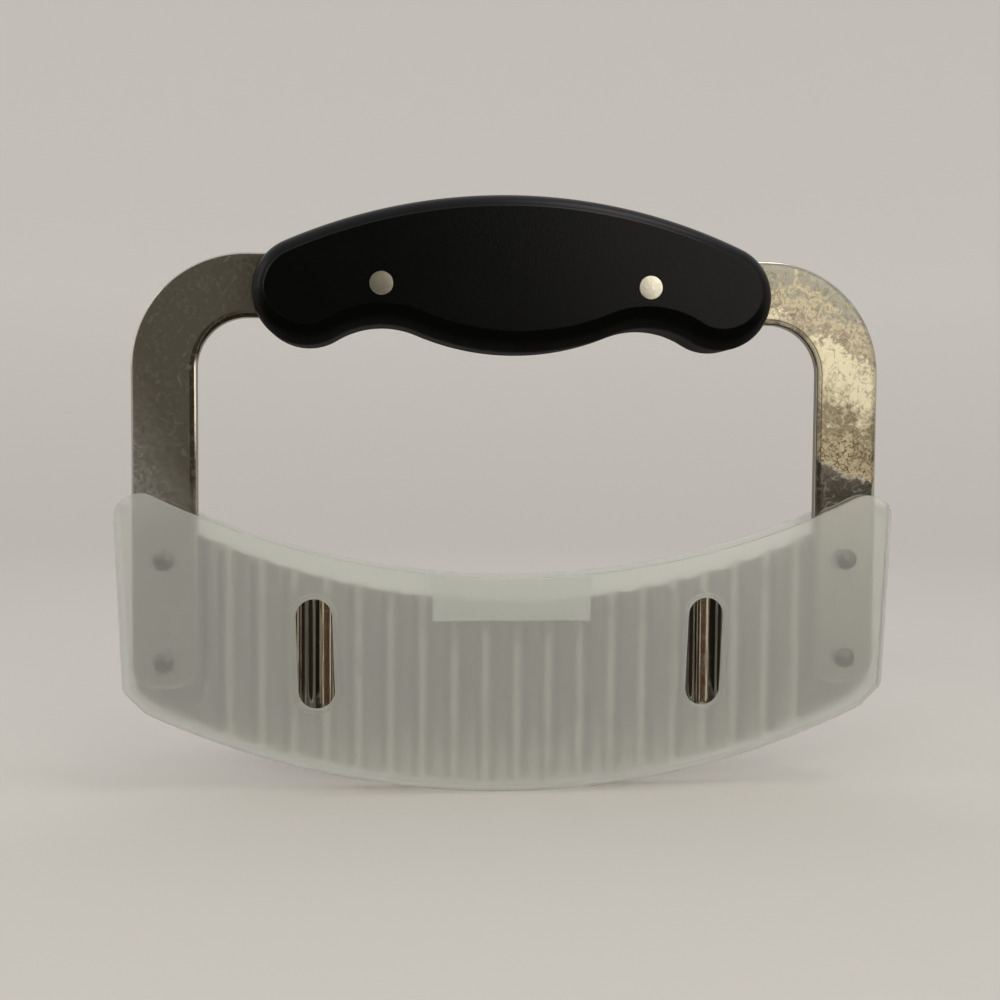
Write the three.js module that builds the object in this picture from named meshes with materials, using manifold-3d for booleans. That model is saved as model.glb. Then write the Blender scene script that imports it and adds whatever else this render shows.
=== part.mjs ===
/**
 * Crinkle cutter with its push-on blade guard.
 *
 * A corrugated blade is riveted between the two arms of a C-shaped stainless bar. The top of the bar is
 * the tang of a black moulded handle, made as two scales and held by two cutler's rivets. A translucent
 * moulded guard slides up over the blade.
 *
 * Millimetres. X runs along the blade, the front faces -Y and +Z is up. The origin lies under the middle
 * of the guard, on the surface that it stands on.
 */
import * as THREE from 'three';
import { mergeVertices } from 'three/addons/utils/BufferGeometryUtils.js';
import Module from 'manifold-3d';

// C-shaped bar
const FRAME_SPAN = 171; // outside one arm to outside the other
const FRAME_HEIGHT = 120.6; // cutting edge to the top of the bar
const BAR_WIDTH = 14.5;
const BAR_THICKNESS = 2.6;
const BAR_CORNER_RADIUS = 26; // outside of the two bends
const BAR_ROLL_WIDTH = 1.8; // stamping rolls the faces over by this far from each edge
const BAR_ROLL_DEPTH = 0.5; // and by this much at the edge
const ARM_END_RISE = 22.7; // middle of the cutting edge up to the arms' ends
const ARM_END_RADIUS = 5;

// Corrugated blade
const BLADE_THICKNESS = 1;
const BLADE_HEIGHT = 42; // at the middle
const BLADE_EDGE_RADIUS = 188; // rocker of the cutting edge
const BLADE_TOP_RADIUS = 172;
const BLADE_CORNER_CUT = 1.8; // 45 degree cut on the lower corners
const TAB_INSET = 0.4; // tab's end inside the arm's outer edge
const TAB_CORNER_RADIUS = 4;
const WAVE_PITCH = 7.36;
const WAVE_HEIGHT = 4.5; // over both faces
const GRIND_HEIGHT = 13; // cutting edge up to the arch ground on each front crest
const GRIND_LAND = 0.15; // metal left at the cutting edge on a crest

// Rivets that hold the blade's tabs on the arms
const BLADE_RIVET_RISE = 28.8; // middle of the cutting edge up to the lower rivets
const BLADE_RIVET_SPACING = 23;
const BLADE_RIVET_RADIUS = 1.5;
const BLADE_RIVET_HEAD_RADIUS = 2.9;
const BLADE_RIVET_HEAD_HEIGHT = 0.9;
const BLADE_RIVET_TAIL_RADIUS = 2.5;
const BLADE_RIVET_TAIL_HEIGHT = 0.8;

// Handle scales: an outline of tangent arcs, with a flat panel inside a rounded rim
const HANDLE_LENGTH = 117;
const HANDLE_THICKNESS = 18.5;
const HANDLE_ABOVE_TANG = 20.4; // middle of the tang up to the crown
const HANDLE_BELOW_TANG = 14.7; // middle of the tang down to the belly
const HANDLE_CROWN_RADIUS = 125;
const HANDLE_END_RADIUS = 12;
const HANDLE_GROOVE_RADIUS = 20;
const HANDLE_BELLY_RADIUS = 58;
const RIM_WIDTH = 5.6; // half axis of the rim's elliptic rounding, across the panel
const FINGER_RIM_WIDTH = 9; // the same where the rim faces down, under the fingers
const RIM_DEPTH = 4.4; // half axis of the rounding in depth
const RIM_PLANED = 0.37; // planed off the rounding, which leaves the panel's crisp edge

// Cutler's rivets in the handle: a post pressed into a sleeve, heads flush with the panels
const HANDLE_RIVET_SPACING = 60;
const HANDLE_RIVET_HEAD_RADIUS = 2.6;
const HANDLE_RIVET_HEAD_HEIGHT = 1.2;
const SLEEVE_RADIUS = 2.1;
const SLEEVE_WALL = 0.6;
const SLEEVE_SHORTFALL = 1.5; // sleeve's mouth behind the post's head
const POST_SHORTFALL = 0.6; // post's tip before the end of the sleeve's bore

// Blade guard
const GUARD_WALL = 1.3; // front and rear
const GUARD_FLOOR = 1.5;
const GUARD_END_WALL = 1.6;
const GUARD_EDGE_ROUND = 2.4;
const GUARD_CAVITY_ROUND = 0.6;
const GUARD_FLARE = 1.6; // each end leans out by this from foot to rim
const GUARD_OVERLAP = 5.7; // rim above the top of the blade, at the middle
const GUARD_RIM_RADIUS = 185;
const GUARD_CORNER_RADIUS = 6;
const GUARD_FOOT_SOFTENING = 1.3; // how far each side of its lower corners the rounding reaches
const GUARD_SIDE_CLEARANCE = 0.5; // each arm's outer edge to the cavity
const GUARD_FACE_CLEARANCE = 0.4; // rivet heads and rear crests to the walls
const GUARD_EDGE_CLEARANCE = 0.3; // cutting edge above the cavity's floor
const WINDOW_SPACING = 89.2;
const WINDOW_LENGTH = 25;
const WINDOW_WIDTH = 8.2;
const WINDOW_RISE = 30.6; // middle of the cutting edge up to the windows' middle
const WINDOW_TILT = THREE.MathUtils.degToRad(2.2); // feet of the windows lean together
const LIP_WIDTH = 1.2; // raised border round each window
const LIP_RISE = 0.3;
const PAD_WIDTH = 36.4;
const PAD_HEIGHT = 10; // rim down to the pad's foot, at the middle
const PAD_CORNER_RADIUS = 1;
const PAD_CLEARANCE = 0.3; // front crests to the pad

// Gap left between pieces that are assembled against each other
const FIT = 0.2;

// Facets
const ARC_STEPS = 6; // half the facets on a small arc
const SWEEP_STEPS = 12; // half the facets on a long arc
const ROUND_STEPS = 3;
const RIM_STEPS = 5;
const WAVE_STEPS = 12;
const TURN_STEPS = 20;
const GRIND_STEPS = 144;
const DOME_STEPS = 3;
const SAME_POINT = 0.001; // points closer than this are one point
const OVERRUN = 10; // how far a cutter passes the piece that it cuts

// Heights
const edgeZ = GUARD_FLOOR + GUARD_EDGE_CLEARANCE;
const edgeCentreZ = edgeZ + BLADE_EDGE_RADIUS;
const bladeTopZ = edgeZ + BLADE_HEIGHT;
const frameTopZ = edgeZ + FRAME_HEIGHT;
const tangZ = frameTopZ - BAR_WIDTH / 2;
const rimZ = bladeTopZ + GUARD_OVERLAP;

// Depths
const barFrontY = -BAR_THICKNESS / 2;
const barRearY = BAR_THICKNESS / 2;
const bladeY = barRearY + FIT + BLADE_THICKNESS / 2; // middle of the strip
const frontCrestY = bladeY - WAVE_HEIGHT / 2;
const rearCrestY = bladeY + WAVE_HEIGHT / 2;
const rivetTailY = bladeY + BLADE_THICKNESS / 2 + FIT;
const panelY = HANDLE_THICKNESS / 2;
const rivetFrontY = barFrontY - FIT - BLADE_RIVET_HEAD_HEIGHT;
const rivetRearY = rivetTailY + BLADE_RIVET_TAIL_HEIGHT;
const cavityFrontY = Math.min(rivetFrontY, frontCrestY) - GUARD_FACE_CLEARANCE;
const cavityRearY = Math.max(rivetRearY, rearCrestY) + GUARD_FACE_CLEARANCE;

// Widths
const armX = (FRAME_SPAN - BAR_WIDTH) / 2;
const tabEndX = FRAME_SPAN / 2 - TAB_INSET;

const wasm = await Module();
wasm.setup();

/** A closed geometry as a solid that can be cut and joined. */
function solidOf(geometry) {
  geometry.deleteAttribute('normal');
  geometry.deleteAttribute('uv');
  const merged = mergeVertices(geometry);
  const corners = merged.index.array;
  const triVerts = [];
  for (let i = 0; i < corners.length; i += 3) {
    const [a, b, c] = corners.slice(i, i + 3);
    if (a !== b && b !== c && c !== a) triVerts.push(a, b, c);
  }
  return new wasm.Manifold(new wasm.Mesh({
    numProp: 3,
    vertProperties: new Float32Array(merged.attributes.position.array),
    triVerts: new Uint32Array(triVerts),
  }));
}

/** A solid back as a geometry. */
function geometryOf(solid) {
  const mesh = solid.getMesh();
  const geometry = new THREE.BufferGeometry();
  geometry.setAttribute('position', new THREE.BufferAttribute(mesh.vertProperties, mesh.numProp));
  geometry.setIndex(new THREE.BufferAttribute(mesh.triVerts, 1));
  geometry.computeVertexNormals();
  return geometry;
}

/** The points of a drawn shape, without the doubled ones where its arcs meet. */
function outlineOf(shape, steps) {
  const points = shape.getPoints(steps);
  return points.filter((point, i) => point.distanceTo(points.at(i - 1)) > SAME_POINT);
}

/** A plate drawn in X and Z that runs from frontY to rearY, with its edges rounded across and in depth. */
function plate(shape, frontY, rearY, { steps = ARC_STEPS, round = 0, roundDepth = round } = {}) {
  const geometry = new THREE.ExtrudeGeometry(new THREE.Shape(outlineOf(shape, steps)), {
    depth: rearY - frontY - 2 * roundDepth,
    bevelEnabled: round > 0,
    bevelSize: round,
    bevelOffset: -round,
    bevelThickness: roundDepth,
    bevelSegments: ROUND_STEPS,
  });
  geometry.rotateX(Math.PI / 2);
  geometry.translate(0, rearY - roundDepth, 0);
  return solidOf(geometry);
}

/** A solid through outlines of equally many points, each drawn in X and Z, from front to rear. */
function loft(sections) {
  const count = sections[0].outline.length;
  const last = sections.length - 1;
  const corners = [];
  for (let near = 0; near < last * count; near += count) {
    for (let i = 0; i < count; i += 1) {
      const a = near + i;
      const b = near + (i + 1) % count;
      corners.push(a, a + count, b, b, a + count, b + count);
    }
  }
  for (const [a, b, c] of THREE.ShapeUtils.triangulateShape(sections[0].outline, [])) {
    corners.push(a, b, c);
  }
  for (const face of THREE.ShapeUtils.triangulateShape(sections[last].outline, [])) {
    const [a, b, c] = face.map((corner) => corner + last * count);
    corners.push(c, b, a);
  }
  const places = sections.flatMap(({ outline, y }) => outline.flatMap((point) => [point.x, y, point.y]));
  const geometry = new THREE.BufferGeometry();
  geometry.setAttribute('position', new THREE.Float32BufferAttribute(places, 3));
  geometry.setIndex(corners);
  return solidOf(geometry);
}

/** A round bar along Y at x and z. */
function rod(radius, x, z, frontY, rearY) {
  const geometry = new THREE.CylinderGeometry(radius, radius, rearY - frontY, TURN_STEPS);
  geometry.translate(x, (frontY + rearY) / 2, z);
  return solidOf(geometry);
}

/** Adds an arc about centre that starts and ends in the directions of two other points. */
function arcBetween(shape, centre, radius, from, to, clockwise = false) {
  const start = Math.atan2(from.y - centre.y, from.x - centre.x);
  const end = Math.atan2(to.y - centre.y, to.x - centre.x);
  shape.absarc(centre.x, centre.y, radius, start, end, clockwise);
}

/** The mirror image of a point across the middle of the cutter. */
function mirrored(point) {
  return new THREE.Vector2(-point.x, point.y);
}

/** The point at given distances from a and b, on the right hand on the way from a to b. */
function rightCrossing(a, fromA, b, fromB) {
  const span = b.clone().sub(a);
  const apart = span.length();
  const along = (fromA ** 2 - fromB ** 2 + apart ** 2) / (2 * apart);
  const aside = Math.sqrt(fromA ** 2 - along ** 2);
  const unit = span.divideScalar(apart);
  const right = new THREE.Vector2(unit.y, -unit.x);
  return a.clone().addScaledVector(unit, along).addScaledVector(right, aside);
}

/** The C of the bar, grown outwards all round for the channel that takes it. */
function barShape(grow) {
  const outer = FRAME_SPAN / 2 + grow;
  const inner = FRAME_SPAN / 2 - BAR_WIDTH - grow;
  const end = edgeZ + ARM_END_RISE - grow + ARM_END_RADIUS;
  const bendX = FRAME_SPAN / 2 - BAR_CORNER_RADIUS;
  const bendZ = frameTopZ - BAR_CORNER_RADIUS;
  const outerBend = BAR_CORNER_RADIUS + grow;
  const innerBend = BAR_CORNER_RADIUS - BAR_WIDTH - grow;
  const quarter = Math.PI / 2;
  const shape = new THREE.Shape();
  shape.absarc(bendX, bendZ, outerBend, 0, quarter);
  shape.absarc(-bendX, bendZ, outerBend, quarter, 2 * quarter);
  shape.absarc(-outer + ARM_END_RADIUS, end, ARM_END_RADIUS, 2 * quarter, 3 * quarter);
  shape.absarc(-inner - ARM_END_RADIUS, end, ARM_END_RADIUS, 3 * quarter, 4 * quarter);
  shape.absarc(-bendX, bendZ, innerBend, 2 * quarter, quarter, true);
  shape.absarc(bendX, bendZ, innerBend, quarter, 0, true);
  shape.absarc(inner + ARM_END_RADIUS, end, ARM_END_RADIUS, 2 * quarter, 3 * quarter);
  shape.absarc(outer - ARM_END_RADIUS, end, ARM_END_RADIUS, 3 * quarter, 4 * quarter);
  return shape;
}

/** The handle's outline: crown, end lobes, finger grooves and belly, each tangent to the next. */
function handleShape() {
  const crown = new THREE.Vector2(0, tangZ + HANDLE_ABOVE_TANG - HANDLE_CROWN_RADIUS);
  const belly = new THREE.Vector2(0, tangZ - HANDLE_BELOW_TANG + HANDLE_BELLY_RADIUS);
  const lobeX = HANDLE_LENGTH / 2 - HANDLE_END_RADIUS;
  const lobeRise = Math.sqrt((HANDLE_CROWN_RADIUS - HANDLE_END_RADIUS) ** 2 - lobeX ** 2);
  const lobe = new THREE.Vector2(lobeX, crown.y + lobeRise);
  const toBelly = HANDLE_BELLY_RADIUS + HANDLE_GROOVE_RADIUS;
  const toLobe = HANDLE_END_RADIUS + HANDLE_GROOVE_RADIUS;
  const groove = rightCrossing(belly, toBelly, lobe, toLobe);
  const lobeTop = lobe.clone().multiplyScalar(2).sub(crown);
  const lobeLeft = mirrored(lobe);
  const grooveLeft = mirrored(groove);
  const lobeTopLeft = mirrored(lobeTop);
  const shape = new THREE.Shape();
  arcBetween(shape, belly, HANDLE_BELLY_RADIUS, grooveLeft, groove);
  arcBetween(shape, groove, HANDLE_GROOVE_RADIUS, belly, lobe, true);
  arcBetween(shape, lobe, HANDLE_END_RADIUS, groove, lobeTop);
  arcBetween(shape, crown, HANDLE_CROWN_RADIUS, lobe, lobeLeft);
  arcBetween(shape, lobeLeft, HANDLE_END_RADIUS, lobeTopLeft, grooveLeft);
  arcBetween(shape, grooveLeft, HANDLE_GROOVE_RADIUS, lobeLeft, belly, true);
  return shape;
}

/** Adds a hollow-arched top edge, from the right corner to the left one, with rounded corners. */
function addRim(shape, halfWidth, middleZ, radius, cornerRadius) {
  const centre = new THREE.Vector2(0, middleZ + radius);
  const cornerX = halfWidth - cornerRadius;
  const cornerZ = centre.y - Math.sqrt((radius + cornerRadius) ** 2 - cornerX ** 2);
  const corner = new THREE.Vector2(cornerX, cornerZ);
  arcBetween(shape, corner, cornerRadius, new THREE.Vector2(halfWidth, cornerZ), centre);
  arcBetween(shape, centre, radius, corner, mirrored(corner), true);
  arcBetween(shape, mirrored(corner), cornerRadius, centre, new THREE.Vector2(-halfWidth, cornerZ));
}

/** Adds the rocker-shaped foot, from left to right, with its corners cut at 45 degrees and softened. */
function addFoot(shape, halfWidth, growth, softening) {
  const centre = new THREE.Vector2(0, edgeCentreZ);
  const radius = BLADE_EDGE_RADIUS + growth;
  const tabCornerZ = edgeCentreZ - Math.sqrt(BLADE_EDGE_RADIUS ** 2 - tabEndX ** 2) + BLADE_CORNER_CUT;
  const cut = tabEndX - tabCornerZ + growth * Math.SQRT2; // x - z all along the cut
  const footX = (cut + centre.y - Math.sqrt(2 * radius ** 2 - (cut + centre.y) ** 2)) / 2;
  const foot = new THREE.Vector2(footX, footX - cut);
  const cornerZ = halfWidth - cut;
  const inward = softening * Math.SQRT1_2;
  shape.moveTo(-halfWidth, cornerZ + softening);
  shape.quadraticCurveTo(-halfWidth, cornerZ, -halfWidth + inward, cornerZ - inward);
  shape.lineTo(-foot.x, foot.y);
  arcBetween(shape, centre, radius, mirrored(foot), foot);
  shape.lineTo(halfWidth - inward, cornerZ - inward);
  shape.quadraticCurveTo(halfWidth, cornerZ, halfWidth, cornerZ + softening);
}

/** The strip's middle line seen from above: flat tabs, and whole waves between the arms. */
function waveLine() {
  const waves = Math.floor((FRAME_SPAN - 2 * BAR_WIDTH) / WAVE_PITCH);
  const swing = (WAVE_HEIGHT - BLADE_THICKNESS) / 2;
  const points = [new THREE.Vector2(-tabEndX - OVERRUN, bladeY)];
  for (let i = 0; i <= waves * WAVE_STEPS; i += 1) {
    const turns = i / WAVE_STEPS;
    const x = (turns - waves / 2) * WAVE_PITCH;
    points.push(new THREE.Vector2(x, bladeY - swing * Math.sin(2 * Math.PI * turns)));
  }
  points.push(new THREE.Vector2(tabEndX + OVERRUN, bladeY));
  return points;
}

/** A point of a line moved to the left of the way from before to after, mitred where the line bends. */
function movedAside(before, point, after, distance) {
  const arriving = point.clone().sub(before).normalize();
  const leaving = after.clone().sub(point).normalize();
  const along = arriving.clone().add(leaving).normalize();
  const lean = Math.max(along.dot(arriving), along.dot(leaving));
  return point.clone().addScaledVector(new THREE.Vector2(-along.y, along.x), distance / lean);
}

/** A line moved sideways by a distance. */
function offsetLine(points, distance) {
  const last = points.length - 1;
  return points.map((point, i) => (
    movedAside(points[Math.max(i - 1, 0)], point, points[Math.min(i + 1, last)], distance)
  ));
}

/** The handle's outline moved inwards by a share of the rim, which widens where the outline faces down. */
function insideRim(outline, share) {
  return outline.map((point, i) => {
    const before = outline.at(i - 1);
    const after = outline[(i + 1) % outline.length];
    const facingDown = Math.max(after.clone().sub(before).normalize().x, 0);
    const width = THREE.MathUtils.lerp(RIM_WIDTH, FINGER_RIM_WIDTH, facingDown);
    return movedAside(before, point, after, width * share);
  });
}

/** The ring that the grinding wheel takes off the front of the crests, turned about the rocker's centre. */
function grindRing() {
  const slope = (BLADE_THICKNESS - GRIND_LAND) / GRIND_HEIGHT;
  const inside = BLADE_EDGE_RADIUS - GRIND_HEIGHT;
  const outside = BLADE_EDGE_RADIUS + OVERRUN;
  const profile = [
    new THREE.Vector2(inside, frontCrestY - OVERRUN),
    new THREE.Vector2(outside, frontCrestY - OVERRUN),
    new THREE.Vector2(outside, frontCrestY + slope * (outside - inside)),
    new THREE.Vector2(inside, frontCrestY),
    new THREE.Vector2(inside, frontCrestY - OVERRUN),
  ];
  const geometry = new THREE.LatheGeometry(profile, GRIND_STEPS);
  geometry.translate(0, 0, edgeCentreZ);
  return solidOf(geometry);
}

/** Where the four blade rivets stand, by name. */
const bladeRivets = ['left', 'right'].flatMap((side) => ['upper', 'lower'].map((level) => ({
  name: `blade_rivet_${side}_${level}`,
  x: side === 'left' ? -armX : armX,
  z: edgeZ + BLADE_RIVET_RISE + (level === 'upper' ? BLADE_RIVET_SPACING : 0),
})));

/** Where the two handle rivets stand, by name. */
const handleRivets = ['left', 'right'].map((side) => ({
  name: `handle_rivet_${side}`,
  x: (side === 'left' ? -1 : 1) * HANDLE_RIVET_SPACING / 2,
}));

/** The bar, with its rivet holes. */
function frameGeometry() {
  let bar = plate(barShape(0), barFrontY, barRearY, { round: BAR_ROLL_WIDTH, roundDepth: BAR_ROLL_DEPTH });
  for (const { x, z } of bladeRivets) {
    bar = bar.subtract(rod(BLADE_RIVET_RADIUS + FIT, x, z, -OVERRUN, OVERRUN));
  }
  for (const { x } of handleRivets) {
    bar = bar.subtract(rod(SLEEVE_RADIUS + FIT, x, tangZ, -OVERRUN, OVERRUN));
  }
  return geometryOf(bar);
}

/** The corrugated strip, trimmed to its smile, ground along the edge and drilled in the tabs. */
function bladeGeometry() {
  const line = waveLine();
  const half = BLADE_THICKNESS / 2;
  const section = new THREE.Shape([...offsetLine(line, -half), ...offsetLine(line, half).reverse()]);
  const sheet = new THREE.ExtrudeGeometry(section, { depth: frameTopZ, bevelEnabled: false });
  const smile = new THREE.Shape();
  addFoot(smile, tabEndX, 0, 0);
  addRim(smile, tabEndX, bladeTopZ, BLADE_TOP_RADIUS, TAB_CORNER_RADIUS);
  let blade = solidOf(sheet);
  blade = blade.intersect(plate(smile, frontCrestY - OVERRUN, rearCrestY + OVERRUN, { steps: SWEEP_STEPS }));
  blade = blade.subtract(grindRing());
  for (const { x, z } of bladeRivets) {
    blade = blade.subtract(rod(BLADE_RIVET_RADIUS + FIT, x, z, -OVERRUN, OVERRUN));
  }
  return geometryOf(blade);
}

/** A low domed head in front of the arm, a shank through arm and tab, and an upset tail behind. */
function bladeRivetGeometry() {
  const seat = barFrontY - FIT;
  const height = BLADE_RIVET_HEAD_HEIGHT;
  const sphere = (BLADE_RIVET_HEAD_RADIUS ** 2 + height ** 2) / (2 * height);
  const opening = Math.asin(BLADE_RIVET_HEAD_RADIUS / sphere);
  const profile = [];
  for (let i = 0; i <= DOME_STEPS; i += 1) {
    const angle = opening * i / DOME_STEPS;
    profile.push(new THREE.Vector2(sphere * Math.sin(angle), seat - height + sphere * (1 - Math.cos(angle))));
  }
  profile.push(
    new THREE.Vector2(BLADE_RIVET_RADIUS, seat),
    new THREE.Vector2(BLADE_RIVET_RADIUS, rivetTailY),
    new THREE.Vector2(BLADE_RIVET_TAIL_RADIUS, rivetTailY),
    new THREE.Vector2(BLADE_RIVET_TAIL_RADIUS, rivetTailY + BLADE_RIVET_TAIL_HEIGHT / 2),
    new THREE.Vector2(BLADE_RIVET_RADIUS, rivetTailY + BLADE_RIVET_TAIL_HEIGHT),
    new THREE.Vector2(0, rivetTailY + BLADE_RIVET_TAIL_HEIGHT),
  );
  return new THREE.LatheGeometry(profile, TURN_STEPS);
}

/** The front scale before it is cut: flat panel, elliptic rim and straight side to the parting face. */
function scaleBlank() {
  const outline = outlineOf(handleShape(), ARC_STEPS);
  const shoulderY = -panelY - RIM_PLANED + RIM_DEPTH;
  const panelAngle = Math.asin(1 - RIM_PLANED / RIM_DEPTH);
  const sections = [];
  for (let i = 0; i <= RIM_STEPS; i += 1) {
    const angle = panelAngle * (1 - i / RIM_STEPS);
    const y = shoulderY - RIM_DEPTH * Math.sin(angle);
    sections.push({ y, outline: insideRim(outline, 1 - Math.cos(angle)) });
  }
  sections.push({ y: -FIT / 2, outline });
  return loft(sections);
}

/** The front scale, channelled for the tang and counterbored for the rivets. */
function scaleGeometry() {
  let scale = scaleBlank().subtract(plate(barShape(FIT), barFrontY - FIT, barRearY + FIT));
  for (const { x } of handleRivets) {
    const headSeat = -panelY + HANDLE_RIVET_HEAD_HEIGHT + FIT;
    scale = scale.subtract(rod(SLEEVE_RADIUS + FIT, x, tangZ, -panelY, OVERRUN));
    scale = scale.subtract(rod(HANDLE_RIVET_HEAD_RADIUS + FIT, x, tangZ, -panelY - OVERRUN, headSeat));
  }
  return geometryOf(scale);
}

const sleeveBoreRadius = SLEEVE_RADIUS - SLEEVE_WALL;
const sleeveBoreEndY = panelY - HANDLE_RIVET_HEAD_HEIGHT;

/** The rivet's post, with its head in the front panel. */
function postGeometry() {
  const postRadius = sleeveBoreRadius - FIT;
  const headSeat = -panelY + HANDLE_RIVET_HEAD_HEIGHT;
  const tip = sleeveBoreEndY - POST_SHORTFALL;
  return new THREE.LatheGeometry([
    new THREE.Vector2(0, -panelY),
    new THREE.Vector2(HANDLE_RIVET_HEAD_RADIUS, -panelY),
    new THREE.Vector2(HANDLE_RIVET_HEAD_RADIUS, headSeat),
    new THREE.Vector2(postRadius, headSeat),
    new THREE.Vector2(postRadius, tip),
    new THREE.Vector2(0, tip),
  ], TURN_STEPS);
}

/** The rivet's sleeve, with its head in the rear panel and its bore open to the front. */
function sleeveGeometry() {
  const mouth = -panelY + HANDLE_RIVET_HEAD_HEIGHT + SLEEVE_SHORTFALL;
  return new THREE.LatheGeometry([
    new THREE.Vector2(0, sleeveBoreEndY),
    new THREE.Vector2(sleeveBoreRadius, sleeveBoreEndY),
    new THREE.Vector2(sleeveBoreRadius, mouth),
    new THREE.Vector2(SLEEVE_RADIUS, mouth),
    new THREE.Vector2(SLEEVE_RADIUS, sleeveBoreEndY),
    new THREE.Vector2(HANDLE_RIVET_HEAD_RADIUS, sleeveBoreEndY),
    new THREE.Vector2(HANDLE_RIVET_HEAD_RADIUS, panelY),
    new THREE.Vector2(0, panelY),
  ], TURN_STEPS);
}

/** An upright slot with round ends, leaning by an angle about its middle and grown outwards for its lip. */
function windowShape(x, z, lean, grow) {
  const radius = WINDOW_WIDTH / 2 + grow;
  const reach = (WINDOW_LENGTH - WINDOW_WIDTH) / 2;
  const offset = new THREE.Vector2(-Math.sin(lean) * reach, Math.cos(lean) * reach);
  const shape = new THREE.Shape();
  shape.absarc(x + offset.x, z + offset.y, radius, lean, lean + Math.PI);
  shape.absarc(x - offset.x, z - offset.y, radius, lean + Math.PI, lean + 2 * Math.PI);
  return shape;
}

/** The pad inside the front wall, which bears on the front crests below the rim. */
function padShape() {
  const side = PAD_WIDTH / 2;
  const cornerX = side - PAD_CORNER_RADIUS;
  const cornerZ = rimZ - PAD_HEIGHT + PAD_CORNER_RADIUS;
  const shape = new THREE.Shape();
  shape.moveTo(side, rimZ + OVERRUN);
  shape.lineTo(-side, rimZ + OVERRUN);
  shape.absarc(-cornerX, cornerZ, PAD_CORNER_RADIUS, Math.PI, 1.5 * Math.PI);
  shape.absarc(cornerX, cornerZ, PAD_CORNER_RADIUS, 1.5 * Math.PI, 2 * Math.PI);
  return shape;
}

/** The guard's body or its cavity before the rim is cut: a tall pocket that follows the blade's foot. */
function pocketShape(halfWidth, growth) {
  const topZ = rimZ + BLADE_HEIGHT;
  const shape = new THREE.Shape();
  addFoot(shape, halfWidth, growth, GUARD_FOOT_SOFTENING);
  shape.lineTo(halfWidth + GUARD_FLARE * topZ / rimZ, topZ);
  shape.lineTo(-halfWidth - GUARD_FLARE * topZ / rimZ, topZ);
  return shape;
}

/** The left (-1) or right (1) window as a plug through both walls, or, grown and rounded, as its lip. */
function guardWindow(side, grow, frontY, rearY, round) {
  const x = side * WINDOW_SPACING / 2;
  const shape = windowShape(x, edgeZ + WINDOW_RISE, -side * WINDOW_TILT, grow);
  return plate(shape, frontY, rearY, { round });
}

/** The guard: a rounded pocket, hollowed, with its pad, its arched rim and its lipped windows. */
function guardGeometry() {
  const innerHalf = FRAME_SPAN / 2 + GUARD_SIDE_CLEARANCE;
  const outerHalf = innerHalf + GUARD_END_WALL;
  const frontY = cavityFrontY - GUARD_WALL;
  const rearY = cavityRearY + GUARD_WALL;
  const body = pocketShape(outerHalf, GUARD_EDGE_CLEARANCE + GUARD_FLOOR);
  const cavity = pocketShape(innerHalf, GUARD_EDGE_CLEARANCE);
  const rim = new THREE.Shape();
  rim.moveTo(-outerHalf - GUARD_FLARE, -OVERRUN);
  rim.lineTo(outerHalf + GUARD_FLARE, -OVERRUN);
  addRim(rim, outerHalf + GUARD_FLARE, rimZ, GUARD_RIM_RADIUS, GUARD_CORNER_RADIUS);
  const hollowing = { steps: SWEEP_STEPS, round: GUARD_CAVITY_ROUND };
  const hollow = plate(cavity, cavityFrontY, cavityRearY, hollowing);
  let guard = plate(body, frontY, rearY, { steps: SWEEP_STEPS, round: GUARD_EDGE_ROUND });
  for (const side of [-1, 1]) {
    guard = guard.add(guardWindow(side, LIP_WIDTH, frontY - LIP_RISE, rearY + LIP_RISE, LIP_RISE));
  }
  guard = guard.subtract(hollow);
  guard = guard.add(plate(padShape(), cavityFrontY - GUARD_WALL / 2, frontCrestY - PAD_CLEARANCE));
  guard = guard.intersect(plate(rim, frontY - OVERRUN, rearY + OVERRUN, { steps: SWEEP_STEPS }));
  for (const side of [-1, 1]) {
    guard = guard.subtract(guardWindow(side, 0, frontY - OVERRUN, rearY + OVERRUN, 0));
  }
  return geometryOf(guard);
}

const blackPlastic = { color: 0x141517, roughness: 0.55, metalness: 0 };
const stainless = { color: 0xb4b1a8, roughness: 0.25, metalness: 1 };
const rivetMetal = { color: 0xc8c5ba, roughness: 0.35, metalness: 1 };
const frostedPlastic = { color: 0xd9dcd8, roughness: 0.5, metalness: 0, transparent: true, opacity: 0.6 };

/** A named piece with its own material, at a place in the cutter. */
function piece(name, geometry, finish, x = 0, z = 0) {
  const mesh = new THREE.Mesh(geometry, new THREE.MeshStandardMaterial(finish));
  mesh.name = name;
  mesh.position.set(x, 0, z);
  return mesh;
}

const cutter = new THREE.Group();
const handleRear = piece('handle_rear', scaleGeometry(), blackPlastic);
handleRear.rotation.z = Math.PI;
cutter.add(
  piece('handle_front', scaleGeometry(), blackPlastic),
  handleRear,
  piece('frame', frameGeometry(), stainless),
  piece('blade', bladeGeometry(), stainless),
);
for (const { name, x, z } of bladeRivets) {
  cutter.add(piece(name, bladeRivetGeometry(), rivetMetal, x, z));
}
for (const { name, x } of handleRivets) {
  cutter.add(piece(`${name}_post`, postGeometry(), rivetMetal, x, tangZ));
  cutter.add(piece(`${name}_sleeve`, sleeveGeometry(), rivetMetal, x, tangZ));
}

const crinkleCutter = new THREE.Group();
crinkleCutter.add(cutter, piece('blade_guard', guardGeometry(), frostedPlastic));

export default crinkleCutter;
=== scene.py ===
"""Crinkle cutter with its push-on blade guard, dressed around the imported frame.

Each operator makes one piece, or one group of like pieces, in the place of its CAD nodes. X runs along the
blade, the front faces -Y and +Z is up. Sizes are in metres, written from millimetres.
"""

import math

import bmesh
import bpy
from bpy.props import FloatProperty, FloatVectorProperty, IntProperty, PointerProperty
from bpy.types import Operator, Panel, PropertyGroup
from mathutils import Euler, Matrix, Vector


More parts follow.
